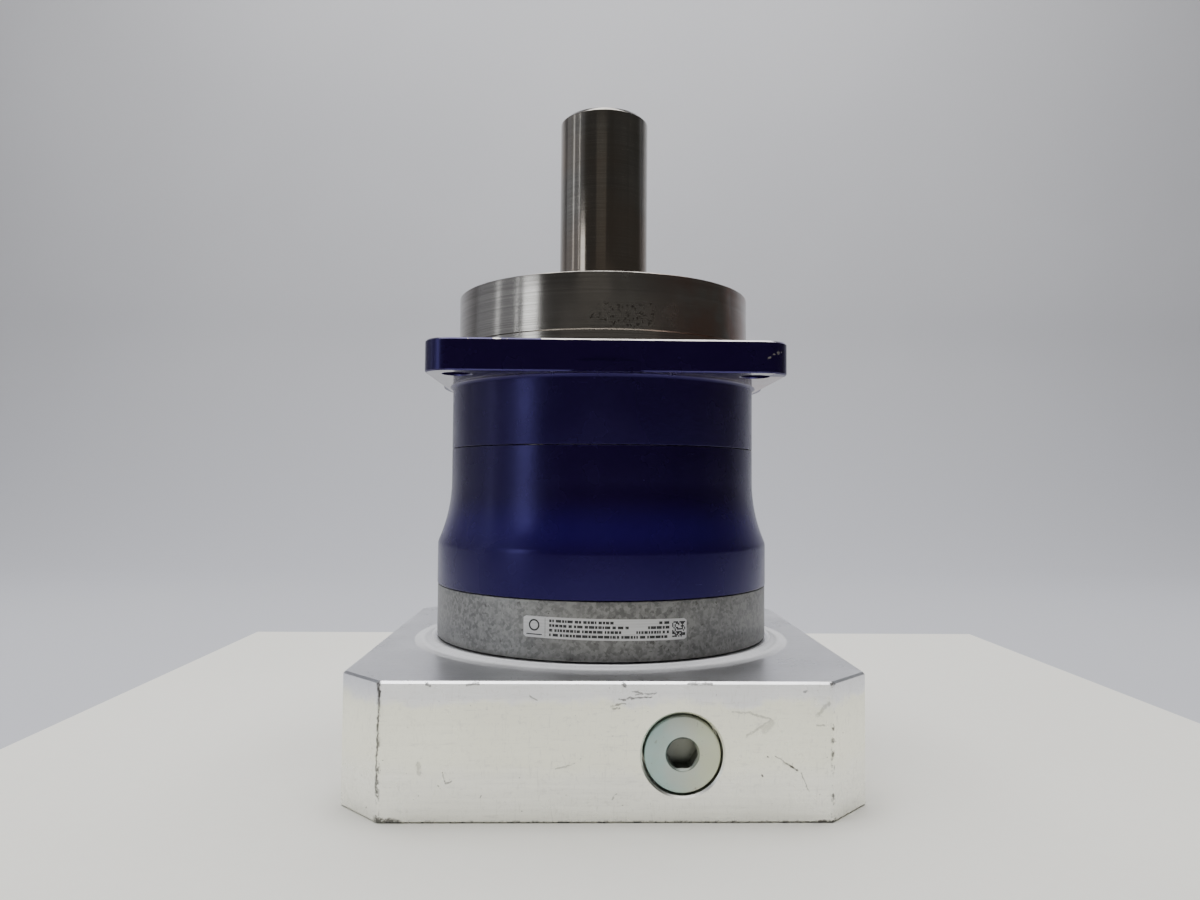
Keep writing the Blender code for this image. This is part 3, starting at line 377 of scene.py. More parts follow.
# Scratches and smudges on the plate's front: start, end, half-width and darkness
MARKS = (
    ((4.2, 42.0), (15.2, 42.8), 0.40, 0.65), ((9.5, 43.8), (16.8, 44.0), 0.35, 0.55),
    ((8.9, 44.9), (12.1, 44.0), 0.35, 0.55), ((1.4, 39.7), (6.4, 40.6), 0.40, 0.60),
    ((2.0, 39.0), (4.5, 39.1), 0.35, 0.60), ((2.0, 8.0), (3.2, 9.9), 0.30, 0.45),
    ((43.1, 37.8), (49.5, 37.5), 0.45, 0.30), ((49.5, 37.5), (56.7, 35.2), 0.55, 0.35),
    ((48.2, 29.5), (57.1, 34.9), 0.55, 0.30), ((54.5, 31.5), (57.0, 34.0), 1.60, 0.22),
    ((72.9, 36.8), (76.7, 40.6), 0.80, 0.32), ((72.3, 33.3), (75.1, 33.2), 0.45, 0.35),
    ((58.3, 22.9), (62.0, 20.2), 0.25, 0.60), ((62.0, 20.2), (65.6, 17.8), 0.40, 0.90),
    ((67.2, 17.2), (69.7, 10.7), 0.25, 0.55), ((55.4, 22.6), (55.7, 22.5), 0.45, 0.90),
    ((53.6, 16.0), (53.9, 15.9), 0.50, 0.90), ((68.4, 44.5), (69.0, 45.0), 0.55, 0.60),
    ((-26.6, 43.2), (-24.4, 41.8), 0.45, 0.50), ((-64.3, 20.3), (-64.0, 16.9), 1.10, 0.32),
    ((-55.9, 17.2), (-55.1, 13.4), 0.30, 0.60), ((-55.1, 13.4), (-53.5, 14.0), 0.45, 0.60),
    ((-17.4, 18.5), (-11.1, 20.3), 0.30, 0.40), ((-78.6, 47.5), (-78.2, 43.0), 1.00, 0.95),
    ((-78.2, 43.0), (-79.0, 10.0), 0.55, 0.85), ((-82.0, 1.5), (-71.0, 0.2), 1.50, 0.85),
    ((69.0, 0.0), (80.0, 0.9), 0.70, 0.85), ((5.2, 47.4), (6.2, 46.6), 0.70, 0.70),
    ((28.5, 47.4), (36.1, 47.2), 0.50, 0.60), ((-62.5, 47.2), (-61.0, 46.6), 0.55, 0.60),
    ((-48.0, 47.0), (-44.0, 47.4), 0.55, 0.55), ((77.5, 47.6), (79.3, 47.4), 0.70, 0.85),
)


def plate_look():
    """Machined aluminium: milling streaks, cream and grey bands, fine crossed scratches and dark nicks."""
    n = Look("milled_aluminium", metallic=1.0)
    x, y, z = (n.axis(letter) for letter in "XYZ")
    streaks = n.noise((26.0, 900.0, 900.0), 3.0, 0.6)
    clouds = n.noise(28.0, 4.0, 0.6, 0.4, 2.0)
    tone = n.plus(n.times(streaks, 0.5), n.times(clouds, 0.5))
    shade = n.mix(n.ramp(tone, 0.32, 0.68), (0.82, 0.82, 0.795), (0.99, 0.99, 0.96))
    level = n.plus(z, n.times(n.minus(n.noise(60.0, 4.0, 0.6, 0.0, 3.0), 0.5), 14.0))
    cream = n.times(n.ramp(level, 13.0, 22.0, 0.35, 1.0), n.ramp(level, 42.0, 39.0))
    shade = n.mix(n.times(cream, 0.75), shade, (0.95, 0.95, 0.80))
    cool = n.times(n.ramp(level, 40.0, 43.0), 0.55)
    shade = n.mix(cool, shade, (0.76, 0.77, 0.84))
    for seed, scale in ((5.0, (90.0, 900.0, 900.0)), (8.0, (900.0, 900.0, 110.0)), (9.0, 420.0)):
        scratches = n.ramp(n.noise(scale, 3.0, 0.6, 1.6, seed), 0.55, 0.72)
        shade = n.mix(n.times(scratches, 0.28), shade, (0.52, 0.515, 0.48))
    front = n.ramp(y, -PLATE_HALF + 2.0, -PLATE_HALF + 0.5)
    outline = n.most(n.near(n.math("ABSOLUTE", x), PLATE_HALF - PLATE_CORNER_CUT, 1.2),
                     n.near(z, 0.0, 1.4))
    broken = n.ramp(n.noise(330.0, 4.0, 0.7, 0.0, 4.0), 0.50, 0.60)
    nicks = n.times(n.times(outline, front), broken)
    wobble = n.node("TexNoise", Vector=n.place(), Scale=330.0, Detail=4.0, Roughness=0.7).outputs["Color"]
    wobble = n.node("VectorMath", {"operation": "MULTIPLY_ADD"}, i0=wobble, i1=(2.6, 0.0, 2.6),
                    i2=(-1.3, 0.0, -1.3)).outputs[0]
    point = n.vector("ADD", n.vector("MULTIPLY", n.place(TO_MM), (1.0, 0.0, 1.0)), wobble)
    marks = 0.0
    for start, end, width, darkness in MARKS:
        marks = n.most(marks, n.times(n.stroke(point, start, end, width), darkness))
    marks = n.times(marks, n.ramp(n.noise(1100.0, 3.0, 0.6, 0.0, 15.0), 0.36, 0.50, 0.35, 1.0))
    nicks = n.most(n.times(nicks, 0.85), n.times(marks, front))
    nicks = n.most(nicks, n.times(n.spots(0.7, 0.035, 13.0), 0.7))
    shade = n.mix(nicks, shade, (0.06, 0.055, 0.05))
    up = n.ramp(n.node("SeparateXYZ", Vector=n.node("NewGeometry").outputs["Normal"]).outputs[2], 0.6, 0.9)
    rough = n.plus(n.ramp(clouds, 0.3, 0.7, 0.22, 0.34), n.times(nicks, 0.3))
    cove = n.times(n.ramp(n.near(n.radius(), 78.5, 6.5), 0.1, 0.5), n.ramp(z, 47.0, 47.8))
    rough = n.plus(rough, n.times(n.most(n.times(up, 0.12), cove), 0.35))
    normal = n.bump(n.minus(1.0, nicks), 0.03, n.bump(streaks, 0.004, n.bump(clouds, 0.02)))
    n.surface(base_color=shade, roughness=rough, normal=normal, anisotropic=0.3)
    return n.material


def zinc_look():
    """Zinc plating with a pale yellow-green passivation, and painted shade inside the hex socket."""
    n = Look("zinc_passivated", metallic=0.75)
    film = n.noise(110.0, 4.0, 0.6, 0.6)
    side = n.plus(n.times(film, 0.5), n.ramp(n.axis("X"), ACCESS_X - 9.0, ACCESS_X + 12.0, 0.0, 0.5))
    shade = n.mix(n.ramp(side, 0.2, 0.8), (0.40, 0.55, 0.54), (0.62, 0.66, 0.50))
    shade = n.mix(n.times(n.ramp(n.noise(60.0, 2.0, 0.5, 0.0, 4.0), 0.5, 0.65), 0.4), shade,
                  (0.58, 0.56, 0.52))
    shade = n.mix(n.times(n.spots(0.8, 0.07, 2.0), 0.5), shade, (0.25, 0.26, 0.22))
    # Painted shade: the inside of the hex socket, below the plug's face, is darkened where little light
    # reaches.
    away = n.math("POWER", n.plus(n.math("POWER", n.minus(n.axis("X"), ACCESS_X), 2.0),
                                  n.math("POWER", n.minus(n.axis("Z"), ACCESS_Z), 2.0)), 0.5)
    inside = n.times(n.ramp(away, 6.0, 5.4), n.ramp(n.axis("Y"), -PLATE_HALF + 1.1, -PLATE_HALF + 1.9))
    shade = n.mix(n.times(inside, 0.7), shade, (0.07, 0.06, 0.05))
    n.surface(base_color=shade, roughness=n.ramp(film, 0.3, 0.7, 0.34, 0.46), normal=n.bump(film, 0.02))
    return n.material


def plain_metal_look(name, light, dark, roughness, grain=400.0, metallic=1.0, depth=0.01):
    """Machined metal inside the gearbox: an even grain and slow changes of tone."""
    n = Look(name, metallic=metallic)
    fine = n.noise(grain, 4.0, 0.6)
    tone = n.plus(n.times(fine, 0.5), n.times(n.noise(40.0, 3.0), 0.5))
    shade = n.mix(n.ramp(tone, 0.35, 0.65), dark, light)
    rough = n.ramp(tone, 0.3, 0.7, roughness * 0.8, roughness * 1.2)
    n.surface(base_color=shade, roughness=rough, normal=n.bump(fine, depth))
    return n.material


def rubber_look():
    n = Look("nitrile_rubber", metallic=0.0)
    fine = n.noise(900.0, 4.0, 0.6)
    shade = n.mix(n.ramp(fine, 0.3, 0.7), (0.012, 0.012, 0.012), (0.03, 0.03, 0.03))
    n.surface(base_color=shade, roughness=n.ramp(fine, 0.3, 0.7, 0.45, 0.65), normal=n.bump(fine, 0.01))
    return n.material


def label_look():
    n = Look("label_foil", metallic=0.35)
    fine = n.noise((30.0, 30.0, 1500.0), 2.0, 0.5)
    wear = n.ramp(n.noise(180.0, 4.0, 0.7, 0.5, 3.0), 0.55, 0.72)
    shade = n.mix(n.ramp(fine, 0.3, 0.7), (0.62, 0.62, 0.63), (0.72, 0.72, 0.73))
    shade = n.mix(n.times(wear, 0.25), shade, (0.42, 0.42, 0.42))
    n.surface(base_color=shade, roughness=n.ramp(wear, 0.0, 1.0, 0.32, 0.5), normal=n.bump(fine, 0.002))
    return n.material


def ink_look():
    n = Look("label_ink", metallic=0.0)
    worn = n.ramp(n.noise(900.0, 3.0, 0.6), 0.55, 0.75)
    shade = n.mix(worn, (0.02, 0.02, 0.022), (0.22, 0.22, 0.22))
    n.surface(base_color=shade, roughness=n.ramp(worn, 0, 1, 0.4, 0.6))
    return n.material


def paper_look(name, colour, shade_colour, curve_shade=None):
    """Matt card. A painted shade is blended in where the card bends up from the table."""
    n = Look(name, metallic=0.0)
    fibre = n.noise(160.0, 4.0, 0.6)
    broad = n.noise(3.0, 2.0, 0.5, 0.0, 2.0)
    tone = n.plus(n.times(fibre, 0.25), n.times(broad, 0.75))
    shade = n.mix(n.ramp(tone, 0.3, 0.7), shade_colour, colour)
    if curve_shade is not None:
        # Painted shade: the card is darker and bluer where it curves up from the table.
        shade = n.mix(n.near(n.axis("Z"), 60.0, 420.0), shade, curve_shade)
    n.surface(base_color=shade, roughness=n.ramp(fibre, 0, 1, 0.75, 0.95))
    return n.material


def make_looks():
    return {
        "paint": paint_look(),
        "pilot": pilot_look(),
        "shaft": turned_steel_look("shaft_steel", (0.40, 0.385, 0.35), (0.20, 0.19, 0.17), 0.008, 0.12,
                                   (0.34, 0.27, 0.215)),
        "bore": turned_steel_look("bored_steel", (0.42, 0.41, 0.40), (0.33, 0.32, 0.31), 0.006, 0.30),
        "cast": cast_look(),
        "plate": plate_look(),
        "zinc": zinc_look(),
        "race": plain_metal_look("ground_steel", (0.62, 0.62, 0.62), (0.54, 0.54, 0.54), 0.16, 900.0,
                                 depth=0.003),
        "gear": plain_metal_look("gear_steel_ground", (0.42, 0.42, 0.43), (0.33, 0.33, 0.34), 0.30),
        "black": plain_metal_look("black_oxide_steel", (0.055, 0.055, 0.06), (0.03, 0.03, 0.034), 0.42, 600.0,
                                  0.85),
        "bronze": plain_metal_look("bronze", (0.62, 0.43, 0.17), (0.50, 0.34, 0.13), 0.32),
        "rubber": rubber_look(),
        "label": label_look(),
        "ink": ink_look(),
    }


# ---------------------------------------------------------------- shapes, in millimetres


def polar(radius, angle):
    return round(radius * cos(angle), 6), round(radius * sin(angle), 6)


def arc(centre, radius, start, end, steps):
    """Points of an arc, with its angles in degrees."""
    angles = [radians(start + (end - start) * i / steps) for i in range(steps + 1)]
    return [(centre[0] + radius * cos(a), centre[1] + radius * sin(a)) for a in angles]


def spread(count, radius, first=0.0):
    """Points evenly spread on a circle about the axis, from the first angle in degrees."""
    return [polar(radius, radians(first) + tau * i / count) for i in range(count)]


def circle(radius, sides, centre=(0.0, 0.0)):
    return [(centre[0] + x, centre[1] + y) for x, y in spread(sides, radius)]


def rounded(corners, steps=4):
    """A closed outline through corners (x, y) or (x, y, radius), with an arc where there is a radius."""
    outline = []
    count = len(corners)
    for i, corner in enumerate(corners):
        here = Vector(corner[:2])
        radius = corner[2] if len(corner) > 2 else 0.0
        if radius <= 0.0:
            outline.append(tuple(here))
            continue
        back = (Vector(corners[i - 1][:2]) - here).normalized()
        ahead = (Vector(corners[(i + 1) % count][:2]) - here).normalized()
        half_angle = back.angle(ahead) / 2
        centre = here + (back + ahead).normalized() * radius / sin(half_angle)
        first = here + back * radius / tan(half_angle)
        last = here + ahead * radius / tan(half_angle)
        for step in range(steps + 1):
            spoke = (first - centre).slerp(last - centre, step / steps)
            outline.append(tuple(centre + spoke.normalized() * radius))
    return outline


def rounded_square(half, corner_r, steps=12):
    return rounded([(half, -half, corner_r), (half, half, corner_r), (-half, half, corner_r),
                    (-half, -half, corner_r)], steps)


def cut_square(half, corner_cut, edge_r):
    """A square with its corners cut off at 45 degrees and every remaining corner slightly rounded."""
    short = half - corner_cut
    corners = [(half, -short), (half, short), (short, half), (-short, half),
               (-half, short), (-half, -short), (-short, -half), (short, -half)]
    return rounded([(x, y, edge_r) for x, y in corners], 3)


def hexagon(across_flats):
    return spread(6, across_flats / 2 / cos(pi / 6))


def new_object(name, bm, look, smooth_angle=32.0):
    bmesh.ops.recalc_face_normals(bm, faces=bm.faces)
    mesh = bpy.data.meshes.new(name)
    bm.to_mesh(mesh)
    bm.free()
    obj = bpy.data.objects.new(name, mesh)
    bpy.context.scene.collection.objects.link(obj)
    if look is not None:
        mesh.materials.append(look)
    smooth(obj, smooth_angle)
    return obj


def smooth(obj, smooth_angle=32.0):
    obj.data.shade_smooth()
    obj.data.set_sharp_from_angle(angle=radians(smooth_angle))


def turned(name, profile, look=None, sides=ROUND):
    """A closed (radius, height) profile spun about Z."""
    bm = bmesh.new()
    verts = [bm.verts.new(Vector((r, 0.0, z)) * MM) for r, z in profile]
    edges = [bm.edges.new((a, b)) for a, b in zip(verts, verts[1:] + verts[:1])]
    bmesh.ops.spin(bm, geom=verts + edges, cent=(0, 0, 0), axis=(0, 0, 1), dvec=(0, 0, 0),
                   angle=tau, steps=sides, use_merge=True, use_duplicate=False)
    bmesh.ops.remove_doubles(bm, verts=bm.verts, dist=1e-7)
    on_axis = [edge for edge in bm.edges if not edge.link_faces]
    bmesh.ops.delete(bm, geom=on_axis, context="EDGES")
    return new_object(name, bm, look)


def lofted(name, rings, look=None, loop=False):
    """Outlines with equal numbers of points, joined in turn. A loop joins the last to the first, uncapped."""
    bm = bmesh.new()
    loops = [[bm.verts.new(Vector(point) * MM) for point in ring] for ring in rings]
    pairs = list(zip(loops, loops[1:]))
    if loop:
        pairs.append((loops[-1], loops[0]))
    for low, high in pairs:
        for i, corner in enumerate(low):
            j = (i + 1) % len(low)
            bm.faces.new((corner, low[j], high[j], high[i]))
    if not loop:
        bm.faces.new(loops[0][::-1])
        bm.faces.new(loops[-1])
    bmesh.ops.dissolve_degenerate(bm, edges=bm.edges, dist=1e-7)
    return new_object(name, bm, look)


def strip(bm, stations, loop=False):
    """Adds a closed body through four-cornered stations. A loop joins the last to the first, uncapped."""
    rings = [[bm.verts.new(Vector(point) * MM) for point in station] for station in stations]
    for left, right in zip(rings, rings[1:] + rings[:1] if loop else rings[1:]):
        for i in range(4):
            j = (i + 1) % 4
            bm.faces.new((left[i], left[j], right[j], right[i]))
    if not loop:
        bm.faces.new(rings[0])
        bm.faces.new(rings[-1][::-1])


def flat(outline, z):
    return [(x, y, z) for x, y in outline]


def prism(name, outline, bottom, top, look=None):
    return lofted(name, [flat(outline, bottom), flat(outline, top)], look)


def move(obj, location=(0.0, 0.0, 0.0), rotation=(0.0, 0.0, 0.0)):
    """Moves the mesh itself, so that every piece keeps its origin on the shared frame's origin."""
    turn = Quaternion((0, 0, 1), rotation[2]).to_matrix() @ Quaternion((1, 0, 0), rotation[0]).to_matrix()
    obj.data.transform(Matrix.Translation(Vector(location) * MM) @ turn.to_4x4())
    return obj


def merged(name, objects, look=None):
    """Several objects' meshes as one object."""
    bm = bmesh.new()
    for obj in objects:
        bm.from_mesh(obj.data)
        bpy.data.objects.remove(obj)
    return new_object(name, bm, look)


def cut(target, *tools):
    """Cuts target with tools that don't touch each other, and removes them."""
    tool = merged(target.name + "_tools", tools)
    modifier = target.modifiers.new("cut", "BOOLEAN")
    modifier.operation = "DIFFERENCE"
    modifier.solver = "EXACT"
    modifier.object = tool
    evaluated = target.evaluated_get(bpy.context.evaluated_depsgraph_get())
    mesh = bpy.data.meshes.new_from_object(evaluated)
    target.modifiers.clear()
    old = target.data
    target.data = mesh
    bpy.data.meshes.remove(old)
    bpy.data.objects.remove(tool)
    smooth(target)


def on_body(obj, body, slot, *nodes):
    """The piece rides on a body and stands for the CAD nodes, which are hidden; slot is not used."""
    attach(obj, body)
    if nodes:
        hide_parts(*nodes)


def two_looks(obj, first, second, is_second):
    """Gives the faces that is_second picks by their centre, in millimetres, the second material."""
    obj.data.materials.clear()
    obj.data.materials.append(first)
    obj.data.materials.append(second)
    for face in obj.data.polygons:
        face.material_index = int(is_second(face.center / MM))


def hole(centre, radius, bottom, top, chamfer):
    """A cutter for a round hole with chamfers of the given size where it passes bottom and top."""
    profile = [(0, bottom - 2), (radius + chamfer + 2, bottom - 2), (radius, bottom + chamfer),
               (radius, top - chamfer), (radius + chamfer + 2, top + 2), (0, top + 2)]
    return move(turned("hole", profile, None, SMALL), (*centre, 0.0))


def stepped_hole(centre, wide_r, narrow_r, bottom, step, top):
    profile = [(0, bottom), (wide_r, bottom), (wide_r, step), (narrow_r, step), (narrow_r, top), (0, top)]
    return move(turned("hole", profile, None, SMALL), (*centre, 0.0))


# ---------------------------------------------------------------- housing


def make_output_housing(looks):
    """Painted body and square flange, with the bare pilot and flange face."""
    disc_lift = 0.06  # keeps the body's top disc off the plane of the flange's underside
    low, high = SEAM + FIT / 2, FLANGE_BOTTOM + disc_lift
    profile = rounded([
        (BODY_R, low, 0.25), (BODY_R, high, 1.7), (BODY_R + 4.0, high), (BODY_R + 4.0, high + 4.0),
        (PILOT_R - 0.5, high + 4.0), (PILOT_R - 0.5, PILOT_RELIEF_TOP), (PILOT_R, PILOT_RELIEF_TOP + 0.35),
        (PILOT_R, PILOT_TOP, 0.6), (51.0, PILOT_TOP, 0.2), (UPPER_CUP_R, PILOT_TOP - 1.0),
        (UPPER_CUP_R, UPPER_SEAT), (44.0, UPPER_SEAT), (44.0, LOWER_SEAT), (LOWER_CUP_R, LOWER_SEAT),
        (LOWER_CUP_R, 127.5), (61.0, 127.5, 0.4), (61.0, 128.2), (59.2, 128.2),
        (59.2, 130.4), (61.0, 130.4), (61.0, low)], 6)
    shell = turned("housing_turned", profile, None, FINE)
    chamfer = 0.6
    rings = []
    for z, inset in ((FLANGE_BOTTOM, 0.5), (FLANGE_BOTTOM + 0.5, 0.0), (FLANGE_TOP - chamfer, 0.0),
                     (FLANGE_TOP, chamfer)):
        rings.append(flat(rounded_square(SQUARE_HALF - inset, SQUARE_CORNER_R - inset), z))
    square = lofted("housing_square", rings)
    tools = [turned("bore", [(0, 150), (62.0, 150), (62.0, 180), (0, 180)], None, ROUND)]
    tools += [hole(centre, BOLT_HOLE_R, FLANGE_BOTTOM, FLANGE_TOP, 0.5) for centre in spread(*OUTPUT_BOLTS)]
    cut(square, *tools)
    housing = merged("output_housing_casting", [shell, square])

    def is_bare(centre):
        inside = hypot(centre.x, centre.y) < BODY_R - 1.0 and centre.z < FLANGE_TOP - 1.0
        return centre.z > FLANGE_TOP - 0.05 or inside

    two_looks(housing, looks["paint"], looks["pilot"], is_bare)
    on_body(housing, "housing", "blue_paint", "output_housing")


def make_ring_housing(looks):
    """Painted lower housing: straight band, rounded ridge, hollow flare and straight neck."""
    slope = radians(FLARE_ANGLE)
    flare_centre = (BODY_R + FLARE_R, BAND_TOP + FLARE_R * sin(slope) + 1.0)
    hollow = arc(flare_centre, FLARE_R, 180 + FLARE_ANGLE, 180, 18)
    ridge_z = hollow[0][1] - (BAND_R - hollow[0][0]) / tan(slope)
    low, high = CAST_TOP + 0.25, SEAM - FIT / 2
    corners = [(BAND_R, low, 0.35), (BAND_R, ridge_z, 6.0), *hollow[1:], (BODY_R, high, 0.25), (61.3, high),
               (61.3, 127.2), (59.7, 127.2), (59.7, RING_TOP), (59.6, RING_BOTTOM), (59.7, 83.8),
               (60.8, 83.8), (60.8, low)]
    housing = turned("ring_gear_casting", rounded(corners, 8), None, FINE)
    threads = [prism("thread", circle(3.3, SMALL, centre), 60.0, 87.0) for centre in spread(*FLANGE_SCREWS)]
    cut(housing, *threads)
    two_looks(housing, looks["paint"], looks["bore"],
              lambda centre: hypot(centre.x, centre.y) < 66.0)
    on_body(housing, "housing", "blue_paint", "ring_gear_housing")


def make_ring_gear(looks):
    """The internal teeth of the ring-gear housing, as their own finely cut ring."""
    inner = tooth_outline(RING_TEETH, DEDENDUM, ADDENDUM, TOOTH_THINNING, ring_first_space())
    slices = helix_rings(RING_TEETH, inner, RING_BOTTOM, RING_TOP, -1)
    outer = [polar(RING_SEAT_R, atan2(y, x)) for x, y in inner]
    rings = [*slices, flat(outer, RING_TOP), flat(outer, RING_BOTTOM)]
    ring = lofted("ring_gear_teeth", rings, looks["gear"], loop=True)
    on_body(ring, "housing", "gear_steel", "ring_gear_housing")


def make_input_flange(looks):
    """Grey cast ring between the plate and the painted housing."""
    profile = rounded([
        (CAST_R, CAST_BOTTOM, 0.7), (CAST_R, CAST_TOP - 0.05, 0.35), (60.5, CAST_TOP - 0.05), (60.5, 77.2),
        (58.4, 77.2), (58.4, 80.0), (60.5, 80.0), (60.5, 83.5, 0.5), (47.8, 83.5), (47.8, 79.0), (50.7, 79.0),
        (50.7, 76.4), (47.8, 76.4), (47.8, 58.0), (39.0, 58.0), (39.0, 55.9), (42.4, 55.9), (42.4, 46.2),
        (55.0, 46.2), (55.0, CAST_BOTTOM)], 4)
    flange = turned("input_flange_casting", profile, looks["cast"], FINE)
    tools = [stepped_hole(centre, 5.3, 3.3, 40.0, 57.5, 80.0) for centre in spread(*FLANGE_SCREWS)]
    cut(flange, *tools, *plate_screw_holes())
    on_body(flange, "housing", "cast_aluminium", "input_flange")


def plate_screw_holes():
    return [prism("thread", circle(4.3, SMALL, centre), 40.0, 64.0) for centre in spread(*PLATE_SCREWS)]


def make_adapter_plate(looks):
    """Milled plate with its turned boss, motor recess, screw pockets and access hole."""
    rings = []
    for z, inset in ((0.0, 0.6), (0.6, 0.0), (PLATE_TOP - 0.8, 0.0), (PLATE_TOP, 0.8)):
        rings.append(flat(cut_square(PLATE_HALF - inset, PLATE_CORNER_CUT - inset * 0.6, 0.8), z))
    plate = lofted("plate_block", rings)
    bore = [(0, -2), (MOTOR_PILOT_R + 2.5, -2), (MOTOR_PILOT_R, 0.5), (MOTOR_PILOT_R, MOTOR_PILOT_DEPTH),
            (PLATE_BORE_R + 0.6, MOTOR_PILOT_DEPTH), (PLATE_BORE_R, MOTOR_PILOT_DEPTH + 0.6),
            (PLATE_BORE_R, 45.9), (PLATE_SEAT_R, 45.9), (PLATE_SEAT_R, 60), (0, 60)]
    tools = [turned("bore", bore, None, FINE)]
    thread = [(0, -2), (MOTOR_THREAD_R + 2.8, -2), (MOTOR_THREAD_R, 0.8), (MOTOR_THREAD_R, 25), (0, 28)]
    tools += [move(turned("thread", thread, None, SMALL), (*centre, 0.0)) for centre in spread(*MOTOR_BOLTS)]
    cut(plate, *tools)
    tools = [stepped_hole(centre, 7.0, 4.3, 3.0, 17.7, 60.0) for centre in spread(*PLATE_SCREWS)]
    access = turned("access", [(0, -2), (ACCESS_R + 2.7, -2), (ACCESS_R, 0.7), (ACCESS_R, 14), (11.0, 14),
                               (11.0, 70), (0, 70)], None, 96)
    tools.append(move(access, (ACCESS_X, -PLATE_HALF, ACCESS_Z), (-pi / 2, 0.0, 0.0)))
    cut(plate, *tools)
    foot = arc((BOSS_FOOT_R, PLATE_TOP + 4.6), 4.6, 233, 270, 8)[::-1]
    profile = [(PLATE_SEAT_R, PLATE_TOP - 2.0), (BOSS_FOOT_R, PLATE_TOP - 2.0), *foot,
               (BOSS_R + 0.35, BOSS_TOP - 0.3), (BOSS_R, BOSS_TOP), (PLATE_SEAT_R, BOSS_TOP)]
    boss = turned("plate_boss", profile, None, FINE)
    cut(boss, *plate_screw_holes())
    plate = merged("adapter_plate_milled", [plate, boss], looks["plate"])
    on_body(plate, "housing", "machined_aluminium", "adapter_plate")


def make_plug(looks):
    top = 12.4
    profile = rounded([(0, 0), (PLUG_R - 1.0, 0), (PLUG_R, 1.0), (PLUG_R, top, 0.7), (0, top)], 5)
    plug = turned("access_plug_zinc", profile, looks["zinc"], 128)
    mouth = [(0, top - 1.4), (4.9, top - 1.4), (5.7, top - 0.5), (6.4, top + 1), (0, top + 1)]
    cut(plug, turned("mouth", mouth, None, 48))
    cut(plug, prism("socket", hexagon(PLUG_HEX), 5.0, top - 0.9))
    move(plug, (ACCESS_X, -PLATE_HALF + 0.6 + top, ACCESS_Z), (pi / 2, 0.0, 0.0))
    on_body(plug, "access_plug", "zinc", "access_plug")


def label_point(u, v, lift):
    """A point on the label: u runs from its left to its right end, v from its lower to its upper edge."""
    x, y = polar(CAST_R + lift, radians(LABEL_LEFT + LABEL_ARC * u))
    return x, y, LABEL_LOW + LABEL_HEIGHT * v + LABEL_DROP * (0.5 - u)


def label_strip(bm, places, low, high):
    """A closed strip through (u, lower v, upper v) places, between two heights above the casting."""
    strip(bm, [[label_point(u, v, lift) for v, lift in ((v0, low), (v1, low), (v1, high), (v0, high))]
               for u, v0, v1 in places])


def make_label(looks):
    """Foil label with a plain ring, rows of dashes and a block of random squares, which cannot be read."""
    steps, ends = 60, 0.012
    insets = [(i / steps, 0.0 if ends < i / steps < 1 - ends else 0.09) for i in range(steps + 1)]
    bm = bmesh.new()
    label_strip(bm, [(u, inset, 1 - inset) for u, inset in insets], 0.06, 0.18)
    on_body(new_object("rating_label", bm, looks["label"]), "housing", "label", "rating_plate")

    bm = bmesh.new()
    ink_low, ink_high = 0.15, 0.20

    def patch(u0, u1, v0, v1):
        count = max(1, round((u1 - u0) * 40))
        label_strip(bm, [(u0 + (u1 - u0) * i / count, v0, v1) for i in range(count + 1)], ink_low, ink_high)

    draw = random.Random(4)
    for row, (left_end, right_start) in enumerate(((0.56, 0.82), (0.64, 0.75), (0.60, 0.68), (0.885, 0.885))):
        base = 0.76 - 0.22 * row
        for start, end in ((0.165, left_end), (right_start, 0.885)):
            u = start
            while u < end - 0.012:
                width = min(draw.choice((0.010, 0.014, 0.020, 0.032)), end - u)
                patch(u, u + width, base, base + 0.13)
                u += width + draw.choice((0.004, 0.005, 0.012))
    cells = 11
    for i in range(cells):
        for j in range(cells):
            if draw.random() < 0.58:
                u, v = 0.903 + 0.088 * i / cells, 0.13 + 0.74 * j / cells
                patch(u, u + 0.088 / cells, v, v + 0.74 / cells)
    patch(0.1385, 0.1405, 0.06, 0.94)
    patch(0.02, 0.12, 0.12, 0.17)
    ratio = LABEL_HEIGHT / (radians(LABEL_ARC) * CAST_R)
    section = ((0.20, ink_low), (0.28, ink_low), (0.28, ink_high), (0.20, ink_high))
    turns = [tau * i / 24 for i in range(24)]
    strip(bm, [[label_point(0.07 + ratio * r * cos(turn), 0.58 + r * sin(turn), lift) for r, lift in section]
               for turn in turns], loop=True)
    on_body(new_object("rating_label_print", bm, looks["ink"]), "housing", "label")


def make_seals(looks):
    output = [(49.6, 190.6), (49.6, 198.1, 0.4), (35.2, 198.1, 0.3), (32.8, 196.4), (34.2, 191.2),
              (36.2, 191.2), (36.2, 195.6, 0.6), (47.2, 195.6, 0.6), (47.2, 190.6)]
    input_side = [(41.9, 48.6), (41.9, 55.6), (39.8, 55.6), (39.8, 50.8, 0.5), (35.2, 50.8, 0.5),
                  (35.2, 55.0), (33.8, 55.0), (32.3, 50.2), (33.6, 48.6, 0.4)]
    for name, node, profile in (("output_shaft_seal", "output_seal", rounded(output)),
                                ("input_shaft_seal", "input_seal", rounded(input_side)),
                                ("housing_o_ring_round", "housing_o_ring", circle(0.8, 12, (60.15, 129.3))),
                                ("flange_o_ring_round", "flange_o_ring", circle(0.95, 12, (59.65, 78.6)))):
        on_body(turned(name, profile, looks["rubber"], 128), "housing", "rubber", node)


# ---------------------------------------------------------------- gears


def involute(angle):
    return tan(angle) - angle


